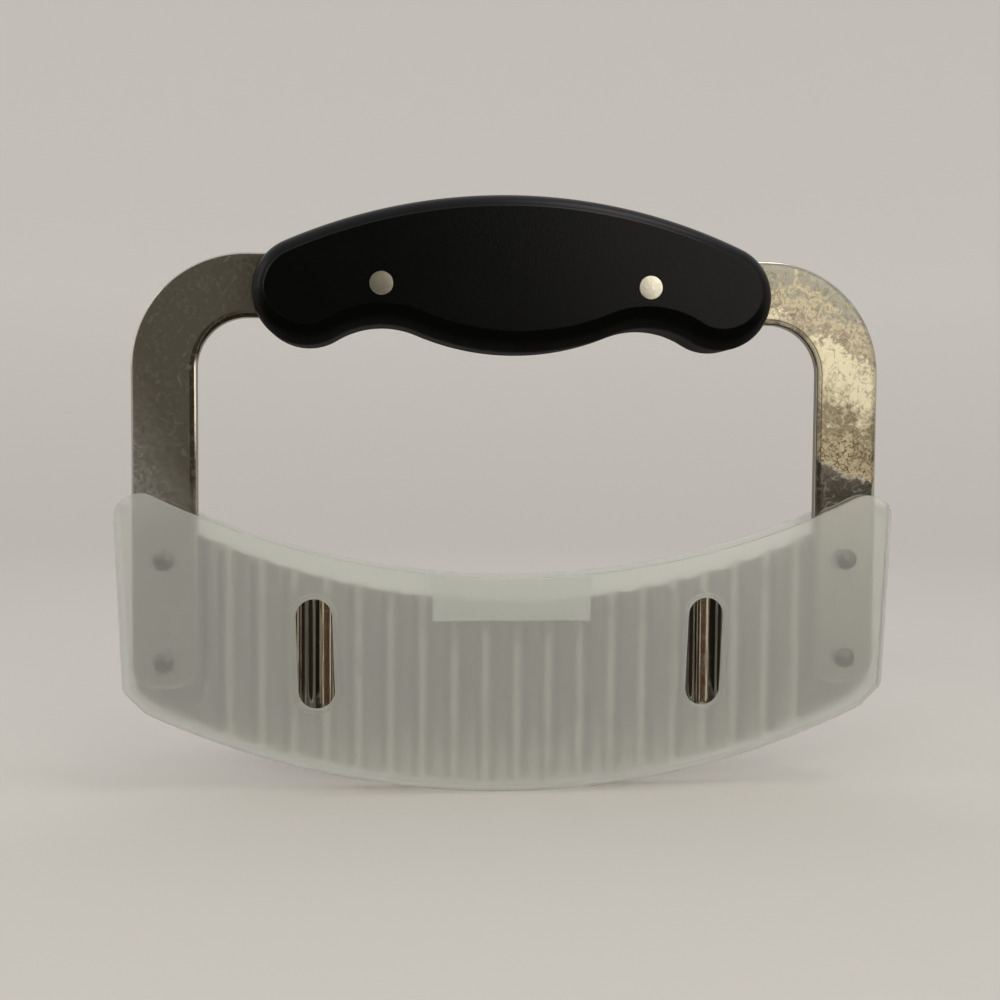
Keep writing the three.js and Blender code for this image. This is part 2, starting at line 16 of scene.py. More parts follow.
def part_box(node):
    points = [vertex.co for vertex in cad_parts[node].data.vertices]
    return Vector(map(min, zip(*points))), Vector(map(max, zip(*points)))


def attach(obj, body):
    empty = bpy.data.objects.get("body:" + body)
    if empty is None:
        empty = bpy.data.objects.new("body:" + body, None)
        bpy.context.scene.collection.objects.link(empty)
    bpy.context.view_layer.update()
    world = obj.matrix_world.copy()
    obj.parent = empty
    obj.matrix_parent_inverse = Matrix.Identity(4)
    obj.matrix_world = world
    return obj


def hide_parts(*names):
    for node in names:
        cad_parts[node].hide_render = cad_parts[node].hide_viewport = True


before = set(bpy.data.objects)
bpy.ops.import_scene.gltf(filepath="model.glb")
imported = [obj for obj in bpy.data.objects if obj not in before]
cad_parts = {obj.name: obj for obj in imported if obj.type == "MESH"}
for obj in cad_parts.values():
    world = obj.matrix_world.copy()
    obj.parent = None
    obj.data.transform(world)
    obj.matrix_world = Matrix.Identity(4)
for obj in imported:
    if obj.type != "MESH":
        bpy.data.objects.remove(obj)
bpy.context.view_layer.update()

bl_info = {
    "name": "Crinkle Cutter",
    "version": (1, 0, 0),
    "blender": (4, 5, 0),
    "location": "View3D > Sidebar > Cutter",
    "description": "Dresses a corrugated blade cutter and its guard around the packed frame",
    "category": "Object",
}

MM = 0.001
BAR_LOW, BAR_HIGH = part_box("frame")
BLADE_LOW, BLADE_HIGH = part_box("blade")
GUARD_LOW, GUARD_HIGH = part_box("blade_guard")
SCALE_LOW, SCALE_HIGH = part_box("handle_front")

# Facets
ARC_STEPS = 24  # on an end lobe, a bend or half a window
SWEEP_STEPS = 96  # on the guard's long arcs
ROUND_STEPS = 8  # on a rounded edge
WAVE_STEPS = 24  # columns of the blade on one wave
TAB_STEPS = 14  # columns of the blade on one tab
BLADE_ROWS = 42
TURN_STEPS = 48  # round a rivet
SHARP_ANGLE = math.radians(32)  # between faces that are shaded apart
SHARP_TURN = math.radians(10)  # of an outline at a corner that can be rounded
GRAZE = 0.3  # least lean allowed where an outline is mitred

# Tones of the film that dried on the right arm, by height in millimetres
FILM_TONES = (
    (72, "#CFC4A4"),
    (80, "#BDB091"),
    (84, "#8B806B"),
    (88, "#CFC5A9"),
    (92, "#ECE5C9"),
    (100, "#EAE2C4"),
    (104, "#A4978A"),
    (108, "#D2C8AA"),
    (112, "#A39F92"),
    (122, "#B4B2A6"),
)

WELD = 0.001 * MM  # points closer than this are one
SPINDLE = 0.0001 * MM  # radius that stands for an axis, about which sections are turned
FIT = 0.2 * MM  # gap between pieces that are assembled against each other
OVERRUN = 2 * MM  # how far a cutter passes what it cuts

# Kinds of node that are used often
MATH = "ShaderNodeMath"
RANGE = "ShaderNodeMapRange"  # a value, the range that it is read from and the range that it is mapped to
SPLIT = "ShaderNodeSeparateXYZ"
NOISE = "ShaderNodeTexNoise"
MIX = "ShaderNodeMix"
BUMP = "ShaderNodeBump"
PRINCIPLED = "ShaderNodeBsdfPrincipled"


def linear(hex_colour):
    """An sRGB hex colour as linear red, green and blue."""
    channels = [int(hex_colour[i : i + 2], 16) / 255 for i in (1, 3, 5)]
    return [c / 12.92 if c <= 0.04045 else ((c + 0.055) / 1.055) ** 2.4 for c in channels]


def length(label, size, description):
    """A length that a user may change."""
    return FloatProperty(name=label, description=description, default=size, min=0.0, unit="LENGTH")


def angle(label, degrees, description):
    """An angle that a user may change."""
    default = math.radians(degrees)
    return FloatProperty(name=label, description=description, default=default, subtype="ANGLE")


def colour(label, hex_colour, description):
    """A colour that a user may change."""
    default = linear(hex_colour)
    return FloatVectorProperty(
        name=label, description=description, subtype="COLOR", size=3, min=0.0, max=1.0, default=default
    )


class BarSettings(PropertyGroup):
    """The C-shaped bar: tang and two arms in one."""

    span: length("Span", BAR_HIGH.x - BAR_LOW.x, "Outside one arm to outside the other")
    width: length("Width", 14.5 * MM, "Width of the bar seen from the front")
    thickness: length("Thickness", BAR_HIGH.y - BAR_LOW.y, "Front face to rear face")
    bend: length("Bend Radius", 26 * MM, "Outside radius of the two bends")
    end: length("End Radius", 5 * MM, "Corner radius at the foot of each arm")
    roll_width: length("Roll-over Width", 1.8 * MM, "From an edge in to where the face starts to fall")
    roll_depth: length("Roll-over Depth", 0.5 * MM, "How far the face falls at an edge")
    steel: colour("Steel", "#C4BFB4", "Polished stainless of the bar")
    sheared: colour("Sheared Edge", "#8A867D", "Stamped edges, left dull")
    scale: colour("Lime Scale", "#C2C1BC", "Greyish haze left by hard water")
    # This colour also paints the line of shade where the roll-over starts.
    crack_and_shade: colour("Flaws", "#6B5C43", "Cracks in the dried film")


class BladeSettings(PropertyGroup):
    """The corrugated strip between the arms."""

    edge_radius: length("Edge Radius", 188 * MM, "Rocker of the cutting edge")
    top_radius: length("Top Radius", 172 * MM, "Hollow of the top edge")
    height: length("Height", 42 * MM, "Edge to top at the middle")
    thickness: length("Thickness", 1 * MM, "Thickness of the strip")
    corner_cut: length("Corner Cut", 1.8 * MM, "Cut on the lower corners")
    corner_radius: length("Corner Radius", 4 * MM, "Upper corners of the tabs")
    pitch: length("Wave Pitch", 7.36 * MM, "Crest to crest")
    depth: length("Wave Depth", BLADE_HIGH.y - BLADE_LOW.y, "Over both faces")
    waves: IntProperty(name="Waves", description="Whole waves between the arms", default=19, min=1)
    grind: length("Grind Height", 15.2 * MM, "Cutting edge up to the arch ground on each crest")
    land: length("Grind Land", 0.15 * MM, "Metal left at the edge on a crest")
    steel: colour("Steel", "#B5B1A8", "Bright polished stainless of the blade")
    # Its pale tone is partly painted light, standing in for light that brightens the troughs behind the
    # guard.
    film: colour("Film", "#C2BEB4", "Dried film in the troughs")
    # Partly dried residue and partly painted highlights, standing in for reflections on the flanks.
    residue_and_highlight: colour("Streaks", "#EFE6D0", "What wiping left of it on the flanks")
    # Partly rust and partly a painted reflection of brown surroundings in the troughs.
    rust_and_reflection: colour("Rust", "#6F5341", "Brown bloom in the wiped troughs")


class RivetSettings(PropertyGroup):
    """The blade's four rivets and the handle's two."""

    blade_rise: length("Lower Rivet Height", 30.6 * MM, "Height of the lower blade rivets")
    blade_spacing: length("Blade Rivet Spacing", 23 * MM, "Lower rivet to upper rivet")
    blade_head: length("Blade Rivet Head", 2.9 * MM, "Radius of the domed heads")
    handle_spacing: length("Handle Rivet Spacing", 60 * MM, "Left rivet to right rivet")
    handle_head: length("Handle Rivet Head", 2.6 * MM, "Radius of the flush heads")
    nickel: colour("Nickel", "#DAD6C8", "Plating of the handle's rivets")
    # Darker than the bar's and the blade's steel, so that the heads show as dark discs behind the guard.
    steel: colour("Steel", "#7E7A71", "Tumbled stainless of the blade's rivets")


class HandleSettings(PropertyGroup):
    """The two moulded scales, with an outline of tangent arcs."""

    length: length("Length", SCALE_HIGH.x - SCALE_LOW.x, "End to end")
    half: length("Half Thickness", -SCALE_LOW.y, "Middle of the tang to a panel")
    above: length("Above Tang", 20.4 * MM, "Middle of the tang up to the crown")
    below: length("Below Tang", 14.7 * MM, "Middle of the tang down to the belly")
    crown: length("Crown Radius", 125 * MM, "Arc along the top")
    end: length("End Radius", 12 * MM, "Lobe at each end")
    groove: length("Groove Radius", 20 * MM, "Hollow for the fingers")
    belly: length("Belly Radius", 58 * MM, "Arc along the bottom")
    rim_width: length("Rim Width", 5.6 * MM, "Half axis of the rim's rounding across the panel")
    finger_rim: length("Finger Rim Width", 9 * MM, "The same under the fingers, where the rim faces down")
    rim_depth: length("Rim Depth", 4.4 * MM, "Half axis of the rim's rounding in depth")
    black: colour("Black", "#050606", "Pigment of the moulding")


class GuardSettings(PropertyGroup):
    """The translucent sheath."""

    wall: length("Wall", 1.3 * MM, "Front and rear walls")
    floor: length("Floor", 1.5 * MM, "Under the cutting edge")
    end_wall: length("End Wall", 1.6 * MM, "Left and right walls")
    edge: length("Edge Radius", 2.4 * MM, "Outside rounding along foot and ends")
    flare: length("Flare", 1.6 * MM, "Lean of each end from foot to rim")
    rim: length("Rim Height", 49.5 * MM, "Rim at the middle")
    rim_radius: length("Rim Radius", 185 * MM, "Hollow of the rim")
    rim_corner: length("Rim Corner", 6 * MM, "Corner radius of the rim")
    window_spacing: length("Window Spacing", 89.2 * MM, "Middle to middle")
    window_length: length("Window Length", 25 * MM, "End to end")
    window_width: length("Window Width", 8.2 * MM, "Side to side")
    window_height: length("Window Height", 32.4 * MM, "Height of the windows' middle")
    window_tilt: angle("Window Tilt", 2.2, "How far the feet lean together")
    lip_width: length("Lip Width", 1.2 * MM, "Raised border round each window")
    lip_rise: length("Lip Height", 0.3 * MM, "Lip above the wall")
    pad_width: length("Pad Width", 36.4 * MM, "Pad inside the front wall")
    pad_height: length("Pad Height", 10 * MM, "Rim down to the pad's foot")
    milk: colour("Milk", "#F3F5F1", "Natural polypropylene")


class StageSettings(PropertyGroup):
    """Camera, light and cove."""

    distance: length("Distance", 300 * MM, "Camera to the middle of the cutter")
    azimuth: angle("Azimuth", -5.08, "Camera round to the right")
    elevation: angle("Elevation", 2.8, "Camera above level")
    roll: angle("Roll", 0.41, "Camera turned about its line of sight")
    lens: FloatProperty(name="Lens", description="Focal length", default=47.0, min=1.0, unit="CAMERA")
    paper: colour("Cove Floor", "#CDC9C2", "Pale floor that the cutter stands on")
    # The wall's paler tone is painted light, making up for the lamps lighting the slope less than the
    # floor.
    wall: colour("Cove Wall", "#DAD6CF", "Paler slope behind and around it")


class CutterSettings(PropertyGroup):
    """Everything that a user would change."""

    bar: PointerProperty(type=BarSettings)
    blade: PointerProperty(type=BladeSettings)
    rivets: PointerProperty(type=RivetSettings)
    handle: PointerProperty(type=HandleSettings)
    guard: PointerProperty(type=GuardSettings)
    stage: PointerProperty(type=StageSettings)


def add(tree, kind, inputs=(), **settings):
    """Adds a node. Its inputs, in order or by name, are values, or nodes and sockets to link."""
    node = tree.nodes.new(kind)
    for name, value in settings.items():
        setattr(node, name, value)
    live = [socket for socket in node.inputs if socket.enabled]
    pairs = inputs.items() if isinstance(inputs, dict) else zip(live, inputs)
    for key, value in pairs:
        socket = node.inputs[key] if isinstance(key, str) else key
        if isinstance(value, bpy.types.Node):
            value = next(output for output in value.outputs if output.enabled)
        if isinstance(value, bpy.types.NodeSocket):
            tree.links.new(value, socket)
        else:
            socket.default_value = value
    return node


def new_material(name):
    """An empty material, with its tree and the coordinates that its patterns read."""
    material = bpy.data.materials.new(name)
    material.use_nodes = True
    tree = material.node_tree
    tree.nodes.clear()
    return material, tree, add(tree, "ShaderNodeTexCoord").outputs


def finish_material(material, shader):
    """Joins a shader to the material's output."""
    add(material.node_tree, "ShaderNodeOutputMaterial", {"Surface": shader})
    return material


def opaque(rgb):
    """A colour with its alpha."""
    return (*rgb, 1.0)


def black_moulding(settings):
    """ABS moulded in a tool with a blasted panel: black, with fine grit on the panel and a smooth rim.

    Fingers have worn the underside dull.
    """
    material, tree, coordinates = new_material("Black ABS, blasted panel and smooth rim")
    spot = coordinates["Object"]
    place = add(tree, SPLIT, (spot,)).outputs
    outward = add(tree, SPLIT, (coordinates["Normal"],)).outputs
    panel_start, panel_full = settings.half - 0.06 * MM, settings.half - 0.01 * MM
    depth = add(tree, MATH, (place["Y"],), operation="ABSOLUTE")
    panel = add(tree, RANGE, (depth, panel_start, panel_full))
    # Blasting leaves grit of about 0.4 mm, and handling leaves smears of about 14 mm.
    grit = add(tree, NOISE, {"Vector": spot, "Scale": 1 / (0.4 * MM), "Detail": 3.0})
    smear = add(tree, NOISE, {"Vector": spot, "Scale": 1 / (14 * MM), "Detail": 4.0})
    speckle = add(tree, MATH, (grit, panel), operation="MULTIPLY")
    bump = add(tree, BUMP, {"Strength": 0.5, "Distance": 0.1 * MM, "Height": speckle})
    sheen = add(tree, RANGE, (smear, 0.0, 1.0, 0.2, 0.3))
    worn = add(tree, RANGE, (outward["Z"], -0.8, -0.4, 0.8, 0.3))
    gloss = add(tree, RANGE, (panel, 0.0, 1.0, worn, sheen))
    look = {
        "Base Color": opaque(settings.black),
        "Roughness": gloss,
        "Normal": bump,
        "IOR": 1.5,
        "Specular IOR Level": 0.15,
    }
    return finish_material(material, add(tree, PRINCIPLED, look))


def bar_steel(settings):
    """18/8 stainless, stamped and polished: dark and mirror-like where clean, clouded by dried hard water.

    The film on the right arm changes with height, from a clean foot over flaking straw to grey lime.
    The left arm has a thin haze at its foot, and the sheared edges are dull.
    """
    material, tree, coordinates = new_material("Stainless bar, polished and water stained")
    spot = coordinates["Object"]
    place = add(tree, SPLIT, (spot,)).outputs
    outward = add(tree, SPLIT, (coordinates["Normal"],)).outputs
    facing = add(tree, MATH, (outward["Y"],), operation="ABSOLUTE")
    flat = add(tree, RANGE, (facing, 0.9, 0.96))
    sheared = add(tree, RANGE, (facing, 0.2, 0.7, 1.0, 0.0))
    # Painted shade: a dark line where the roll-over of the inner edge starts, and the face has just begun
    # to turn.
    roll_start = 0.9955
    inward = add(tree, MATH, (outward["X"], outward["Z"]), operation="ADD")
    fallen = add(tree, MATH, (facing, roll_start), operation="SUBTRACT")
    off_line = add(tree, MATH, (fallen,), operation="ABSOLUTE")
    line = add(tree, RANGE, (off_line, 0.001, 0.003, 0.9, 0.0))
    crease_shade = add(tree, RANGE, (inward, -0.03, -0.06, 0.0, line))
    # Clouds of dried water about 8 mm across, drops of about 1.3 mm, and squiggles of about 2.4 mm, which
    # brown the film and curl over the clean steel.
    cloudy = {"Scale": 1 / (8 * MM), "Detail": 6.0, "Roughness": 0.6, "Distortion": 0.7}
    dotted = {"Scale": 1 / (1.3 * MM), "Detail": 5.0, "Roughness": 0.65, "Distortion": 0.6}
    curly = {"Scale": 1 / (2.4 * MM), "Detail": 6.0, "Roughness": 0.7, "Distortion": 2.0}
    stains = [add(tree, NOISE, {"Vector": spot, **stain}) for stain in (cloudy, dotted, curly)]
    cloud, drops, squiggle = stains
    # Heights in the film, which fall to the right, made wavy by the clouds and broken up by the drops.
    lean, cloud_rise, drop_rise, wave_rise, shore_rise = 0.45, 34 * MM, 22 * MM, 20 * MM, 8 * MM
    leaning = add(tree, MATH, (place["X"], lean, place["Z"]), operation="MULTIPLY_ADD")
    wavy = add(tree, MATH, (cloud, wave_rise, place["Z"]), operation="MULTIPLY_ADD")
    rolling = add(tree, MATH, (cloud, cloud_rise, leaning), operation="MULTIPLY_ADD")
    tide = add(tree, MATH, (drops, drop_rise, rolling), operation="MULTIPLY_ADD")
    mean_rise = (cloud_rise + drop_rise) / 2 + lean * (settings.span - settings.width) / 2
    low, high = FILM_TONES[0][0], FILM_TONES[-1][0]
    along = add(tree, RANGE, (tide, low * MM + mean_rise, high * MM + mean_rise))
    tones = add(tree, "ShaderNodeValToRGB", (along,))
    stops = tones.color_ramp.elements
    for height, tone in FILM_TONES[1:-1]:
        stops.new((height - low) / (high - low)).color = opaque(linear(tone))
    stops[0].color = opaque(linear(FILM_TONES[0][1]))
    stops[-1].color = opaque(linear(FILM_TONES[-1][1]))
    # The film ends in a line that falls to the right, above a clean foot.
    shore_start, shore_end = 112.6 * MM, 113.6 * MM
    shore = add(tree, MATH, (cloud, shore_rise, leaning), operation="MULTIPLY_ADD")
    right = add(tree, MATH, (place["X"], 0.0), operation="GREATER_THAN")
    dried = add(tree, RANGE, (shore, shore_start, shore_end, 0.0, right))
    film = add(tree, MATH, (dried, flat), operation="MULTIPLY")
    # Crackle: broken lines between flakes of about 1 mm, low in the film.
    crackle_end, crackle_full = 94 * MM, 91 * MM
    flaking = {"Vector": spot, "Scale": 1 / MM}
    flakes = add(tree, "ShaderNodeTexVoronoi", flaking, feature="DISTANCE_TO_EDGE")
    lines = add(tree, RANGE, (flakes, 0.04, 0.17, 1.0, 0.0))
    cracks = add(tree, RANGE, (drops, 0.45, 0.54, 0.0, lines))
    marks = add(tree, RANGE, (wavy, crackle_end, crackle_full, 0.0, cracks))
    browned = add(tree, RANGE, (squiggle, 0.5, 0.66, 0.0, 0.65))
    brown = add(tree, MATH, (marks, browned), operation="MAXIMUM")
    # The brown marks are stains; the line joined to them is painted shade.
    cracks_and_crease_shade = add(tree, MATH, (brown, crease_shade), operation="MAXIMUM")
    # Haze on the left arm: a wedge along its outer edge that widens down to the guard, and a few curls.
    slant, covered_end, exposed_start = 2.0, 60 * MM, 66 * MM
    haze_end, haze_full = slant * BAR_LOW.x + 110 * MM, slant * BAR_LOW.x + 84 * MM
    slanting = add(tree, MATH, (place["X"], slant, wavy), operation="MULTIPLY_ADD")
    speckled = add(tree, RANGE, (drops, 0.25, 0.65))
    exposed = add(tree, RANGE, (place["Z"], covered_end, exposed_start, 0.0, speckled))
    wedge = add(tree, RANGE, (slanting, haze_end, haze_full, 0.0, exposed))
    curled = add(tree, RANGE, (squiggle, 0.53, 0.66, 0.0, 0.3))
    haze = add(tree, MATH, (wedge, curled), operation="MAXIMUM")
    hazy = add(tree, MIX, (haze, opaque(settings.steel), opaque(settings.scale)), data_type="RGBA")
    edged = add(tree, MIX, (sheared, hazy, opaque(settings.sheared)), data_type="RGBA")
    flaked = add(tree, MIX, (cracks_and_crease_shade, tones, opaque(settings.crack_and_shade)), data_type="RGBA")
    tint = add(tree, MIX, (film, edged, flaked), data_type="RGBA")
    covered = add(tree, MATH, (film, haze), operation="MAXIMUM")
    dull = add(tree, MATH, (covered, sheared), operation="MAXIMUM")
    metal = add(tree, RANGE, (covered, 0.0, 1.0, 1.0, 0.7))
    gloss = add(tree, RANGE, (dull, 0.0, 1.0, 0.1, 0.38))
    bump = add(tree, BUMP, {"Strength": 0.1, "Distance": 0.08 * MM, "Height": drops})
    look = {"Base Color": tint, "Metallic": metal, "Roughness": gloss, "Normal": bump}
    return finish_material(material, add(tree, PRINCIPLED, look))


def blade_steel(settings, guard):
    """Bright rolled stainless, pressed into waves: mirror crests, and troughs dulled by a pale dried film,
    partly painted light.

    Behind the guard's windows the film was wiped to streaks on the flanks, partly painted highlights, with
    a brown bloom in the troughs, partly a painted reflection. The ground arches are dull.
    """
    material, tree, coordinates = new_material("Stainless blade, bright rolled")
    spot = coordinates["Object"]
    place = add(tree, SPLIT, (spot,)).outputs
    outward = add(tree, SPLIT, (coordinates["Normal"],)).outputs
    # One face's trough is the back of the other's crest, so a face's own troughs lie past the middle.
    middle = (BLADE_LOW.y + BLADE_HIGH.y) / 2
    side = add(tree, MATH, (outward["Y"],), operation="SIGN")
    off_middle = add(tree, MATH, (middle, place["Y"]), operation="SUBTRACT")
    sunk = add(tree, MATH, (off_middle, side), operation="MULTIPLY")
    # The pale film in the troughs is partly dried film and partly painted light that brightens them.
    film_start, film_full = 0.4 * MM, 1.1 * MM
    trough = add(tree, RANGE, (sunk, film_start, film_full))
    # Dried drops of about 2 mm.
    drops = add(tree, NOISE, {"Vector": spot, "Scale": 1 / (2 * MM), "Detail": 5.0})
    dried = add(tree, RANGE, (drops, 0.2, 0.5, 0.0, trough))
    # How far a spot is from the middle of the guard's windows, sideways and up or down.
    outside = add(tree, MATH, (place["X"],), operation="ABSOLUTE")
    aside = add(tree, MATH, (outside, guard.window_spacing / 2), operation="SUBTRACT")
    off_window = add(tree, MATH, (aside,), operation="ABSOLUTE")
    above = add(tree, MATH, (place["Z"], guard.window_height), operation="SUBTRACT")
    off_height = add(tree, MATH, (above,), operation="ABSOLUTE")
    wiped_side, kept_side = guard.window_width * 0.65, guard.window_width * 0.8
    wiped_end, kept_end = guard.window_length / 2, guard.window_length / 2 + 1 * MM
    beside = add(tree, RANGE, (off_window, wiped_side, kept_side))
    beyond = add(tree, RANGE, (off_height, wiped_end, kept_end))
    kept = add(tree, MATH, (beside, beyond), operation="MAXIMUM")
    wiped = add(tree, MATH, (1.0, kept), operation="SUBTRACT")
    left = add(tree, MATH, (dried, kept), operation="MULTIPLY")
    # The brown bloom is partly rust and partly a painted reflection in the wiped troughs.
    bloom_and_reflection = add(tree, MATH, (dried, wiped), operation="MULTIPLY")
    rust_and_reflection_share = add(tree, RANGE, (bloom_and_reflection, 0.0, 1.0, 0.0, 0.6))
    # Rolling lines 0.35 mm apart run up the blade, and break the streaks on the flanks of the wiped
    # troughs, which lie to either side of a line 0.6 mm deep. The streaks are partly residue, partly
    # painted highlights.
    stretch = add(tree, "ShaderNodeMapping", {"Vector": spot, "Scale": (1.0, 1.0, 0.04)})
    lines = add(tree, NOISE, {"Vector": stretch, "Scale": 1 / (0.35 * MM), "Detail": 2.0})
    flank_depth, streak_half, streak_end = 0.6 * MM, 0.15 * MM, 0.3 * MM
    off_flank = add(tree, MATH, (sunk, flank_depth), operation="SUBTRACT")
    from_flank = add(tree, MATH, (off_flank,), operation="ABSOLUTE")
    flank = add(tree, RANGE, (from_flank, streak_half, streak_end, wiped, 0.0))
    residue_and_highlights = add(tree, RANGE, (lines, 0.3, 0.5, 0.0, flank))
    # The wheel's facets lean down, which the pressed waves don't.
    facet = add(tree, RANGE, (outward["Z"], -0.02, -0.045, 0.0, 0.5))
    pale_film_and_highlights = add(tree, MATH, (left, residue_and_highlights), operation="MAXIMUM")
    film = add(tree, MATH, (pale_film_and_highlights, rust_and_reflection_share), operation="MAXIMUM")
    dull = add(tree, MATH, (film, facet), operation="MAXIMUM")
    film_and_painted_light = add(tree, MIX, (left, opaque(settings.steel), opaque(settings.film)), data_type="RGBA")
    rust_and_reflection_tint = add(tree, MIX, (bloom_and_reflection, film_and_painted_light, opaque(settings.rust_and_reflection)), data_type="RGBA")
    tint = add(tree, MIX, (residue_and_highlights, rust_and_reflection_tint, opaque(settings.residue_and_highlight)), data_type="RGBA")
    metal = add(tree, RANGE, (film, 0.0, 1.0, 1.0, 0.1))
    gloss = add(tree, RANGE, (dull, 0.0, 1.0, 0.1, 0.45))
    bump = add(tree, BUMP, {"Strength": 0.05, "Distance": 0.05 * MM, "Height": lines})
    look = {"Base Color": tint, "Metallic": metal, "Roughness": gloss, "Normal": bump}
    return finish_material(material, add(tree, PRINCIPLED, look))


def peened_rivet(name, metal):
    """Cold-headed rivet, peened and tumbled: a soft sheen with small dents."""
    material, tree, coordinates = new_material(name)
    spot = coordinates["Object"]
    dents = add(tree, NOISE, {"Vector": spot, "Scale": 1 / (0.8 * MM), "Detail": 3.0})
    gloss = add(tree, RANGE, (dents, 0.0, 1.0, 0.22, 0.4))
    bump = add(tree, BUMP, {"Strength": 0.25, "Distance": 0.1 * MM, "Height": dents})
    look = {"Base Color": opaque(metal), "Metallic": 1.0, "Roughness": gloss, "Normal": bump}
    return finish_material(material, add(tree, PRINCIPLED, look))


def frosted_moulding(settings, name, clearness):
    """Natural polypropylene: milky, frosted by the tool, with faint flow marks."""
    material, tree, coordinates = new_material(name)
    spot = coordinates["Object"]
    flow = add(tree, NOISE, {"Vector": spot, "Scale": 1 / (11 * MM), "Detail": 4.0})
    frost = add(tree, NOISE, {"Vector": spot, "Scale": 1 / (0.5 * MM), "Detail": 2.0})
    gloss = add(tree, RANGE, (flow, 0.0, 1.0, 0.3, 0.37))
    bump = add(tree, BUMP, {"Strength": 0.08, "Distance": 0.05 * MM, "Height": frost})
    look = {
        "Base Color": opaque(settings.milk),
        "Roughness": gloss,
        "Normal": bump,
        "IOR": 1.49,
        "Transmission Weight": clearness,
    }
    return finish_material(material, add(tree, PRINCIPLED, look))


def mesh_from(name, built):
    """A mesh of what was built, which is used up."""
    mesh = bpy.data.meshes.new(name)
    built.to_mesh(mesh)
    built.free()
    return mesh


def place_object(name, mesh):
    """An object at the origin for a mesh."""
    made = bpy.data.objects.new(name, mesh)
    bpy.context.scene.collection.objects.link(made)
    return made


def keep_result(made):
    """Turns what an object's modifiers give into its plain mesh."""
    evaluated = made.evaluated_get(bpy.context.evaluated_depsgraph_get())
    mesh = bpy.data.meshes.new_from_object(evaluated)
    before = made.data
    made.modifiers.clear()
    made.data = mesh
    bpy.data.meshes.remove(before)


def shade(mesh):
    """Shades a mesh smoothly between its sharp edges."""
    mesh.shade_smooth()
    mesh.set_sharp_from_angle(angle=SHARP_ANGLE)


def smooth(made, material):
    """Shades an object smoothly, keeps its flats flat and gives it its material."""
    made.data.materials.clear()
    made.data.materials.append(material)
    shade(made.data)
    weighted = made.modifiers.new("Flat faces", "WEIGHTED_NORMAL")
    weighted.keep_sharp = True
    keep_result(made)
    return made


def carve(made, cutter, operation="DIFFERENCE"):
    """Cuts an object with another, which is used up."""
    step = made.modifiers.new("Carve", "BOOLEAN")
    step.operation = operation
    step.solver = "MANIFOLD"
    step.object = cutter
    keep_result(made)
    bpy.data.objects.remove(cutter)


def dress(made, body, slot, *nodes):
    """Sets a finished piece on its body, in the place of its CAD nodes."""
    if not made.data.polygons:
        raise RuntimeError(f"{made.name} has no faces")
    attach(made, body)
    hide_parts(*nodes)


def arc(centre, radius, start, end, steps):
    """Points along an arc in X and Z, without its last."""
    angles = [start + (end - start) * i / steps for i in range(steps)]
    return [centre + radius * Vector((math.cos(angle), math.sin(angle))) for angle in angles]


def arc_between(centre, radius, first, last, steps, clockwise=False):
    """Points along an arc that starts and ends in the directions of two other points, without its last."""
    start = math.atan2(first.y - centre.y, first.x - centre.x)
    end = math.atan2(last.y - centre.y, last.x - centre.x)
    if clockwise and end > start:
        end -= math.tau
    if not clockwise and end < start:
        end += math.tau
    return arc(centre, radius, start, end, steps)


def mirrored(point):
    """The mirror image of a point across the middle of the cutter."""
    return Vector((-point.x, point.y))


def right_crossing(a, from_a, b, from_b):
    """The point at given distances from a and b, on the right hand on the way from a to b."""
    apart = (b - a).length
    along = (from_a**2 - from_b**2 + apart**2) / (2 * apart)
    aside = math.sqrt(from_a**2 - along**2)
    unit = (b - a) / apart
    return a + unit * along + Vector((unit.y, -unit.x)) * aside


def neighbours(points):
    """Each point of a closed outline between the one before and the one after."""
    return zip(points[-1:] + points[:-1], points, points[1:] + points[:1])


def inset(points, distance, widths=None):
    """A closed outline moved inwards, mitred at its corners.

    The distance is a length, or a share of each point's width where there are widths.
    """
    moved = []
    for (before, here, after), width in zip(neighbours(points), widths or [1.0] * len(points)):
        first = (here - before).normalized()
        along = (first + (after - here).normalized()).normalized()
        lean = max(along.dot(first), GRAZE)
        moved.append(here + Vector((-along.y, along.x)) * (distance * width / lean))
    return moved


def soften(points, radius):
    """Rounds the sharp corners of a closed outline."""
    rounded = []
    for before, here, after in neighbours(points):
        back, on = (before - here).normalized(), (after - here).normalized()
        turn = math.pi - back.angle(on)
        if turn < SHARP_TURN:
            rounded.append(here)
            continue
        reach = radius * math.tan(turn / 2)
        shares = [i / ROUND_STEPS for i in range(ROUND_STEPS + 1)]
        rounded += [here + back * reach * (1 - share) ** 2 + on * reach * share**2 for share in shares]
    return rounded


def ring(points, y):
    """An outline in X and Z set at a depth."""
    return [Vector((point.x, y, point.y)) for point in points]


def solid(name, rings):
    """A closed mesh through rings of equally many points, capped at both ends."""
    built = bmesh.new()
    loops = [[built.verts.new(point) for point in points] for points in rings]
    for near, far in zip(loops, loops[1:]):
        for i in range(len(near)):
            built.faces.new((near[i - 1], near[i], far[i], far[i - 1]))
    built.faces.new(loops[0])
    built.faces.new(reversed(loops[-1]))
    bmesh.ops.recalc_face_normals(built, faces=built.faces)
    return place_object(name, mesh_from(name, built))


def rounding(outline, across, face, deep):
    """Rings over a rounded edge, from an inset outline at a face to the full outline a depth behind it."""
    angles = [math.pi / 2 * i / ROUND_STEPS for i in range(ROUND_STEPS + 1)]
    return [
        ring(inset(outline, across * (1 - math.sin(angle))), face + deep * (1 - math.cos(angle)))
        for angle in angles
    ]


def plate(name, outline, front, rear, across, deep):
    """A plate in depth from front to rear, with its edges rounded over a width across and a depth."""
    near, far = rounding(outline, across, front, deep), rounding(outline, across, rear, -deep)
    return solid(name, near + far[::-1])


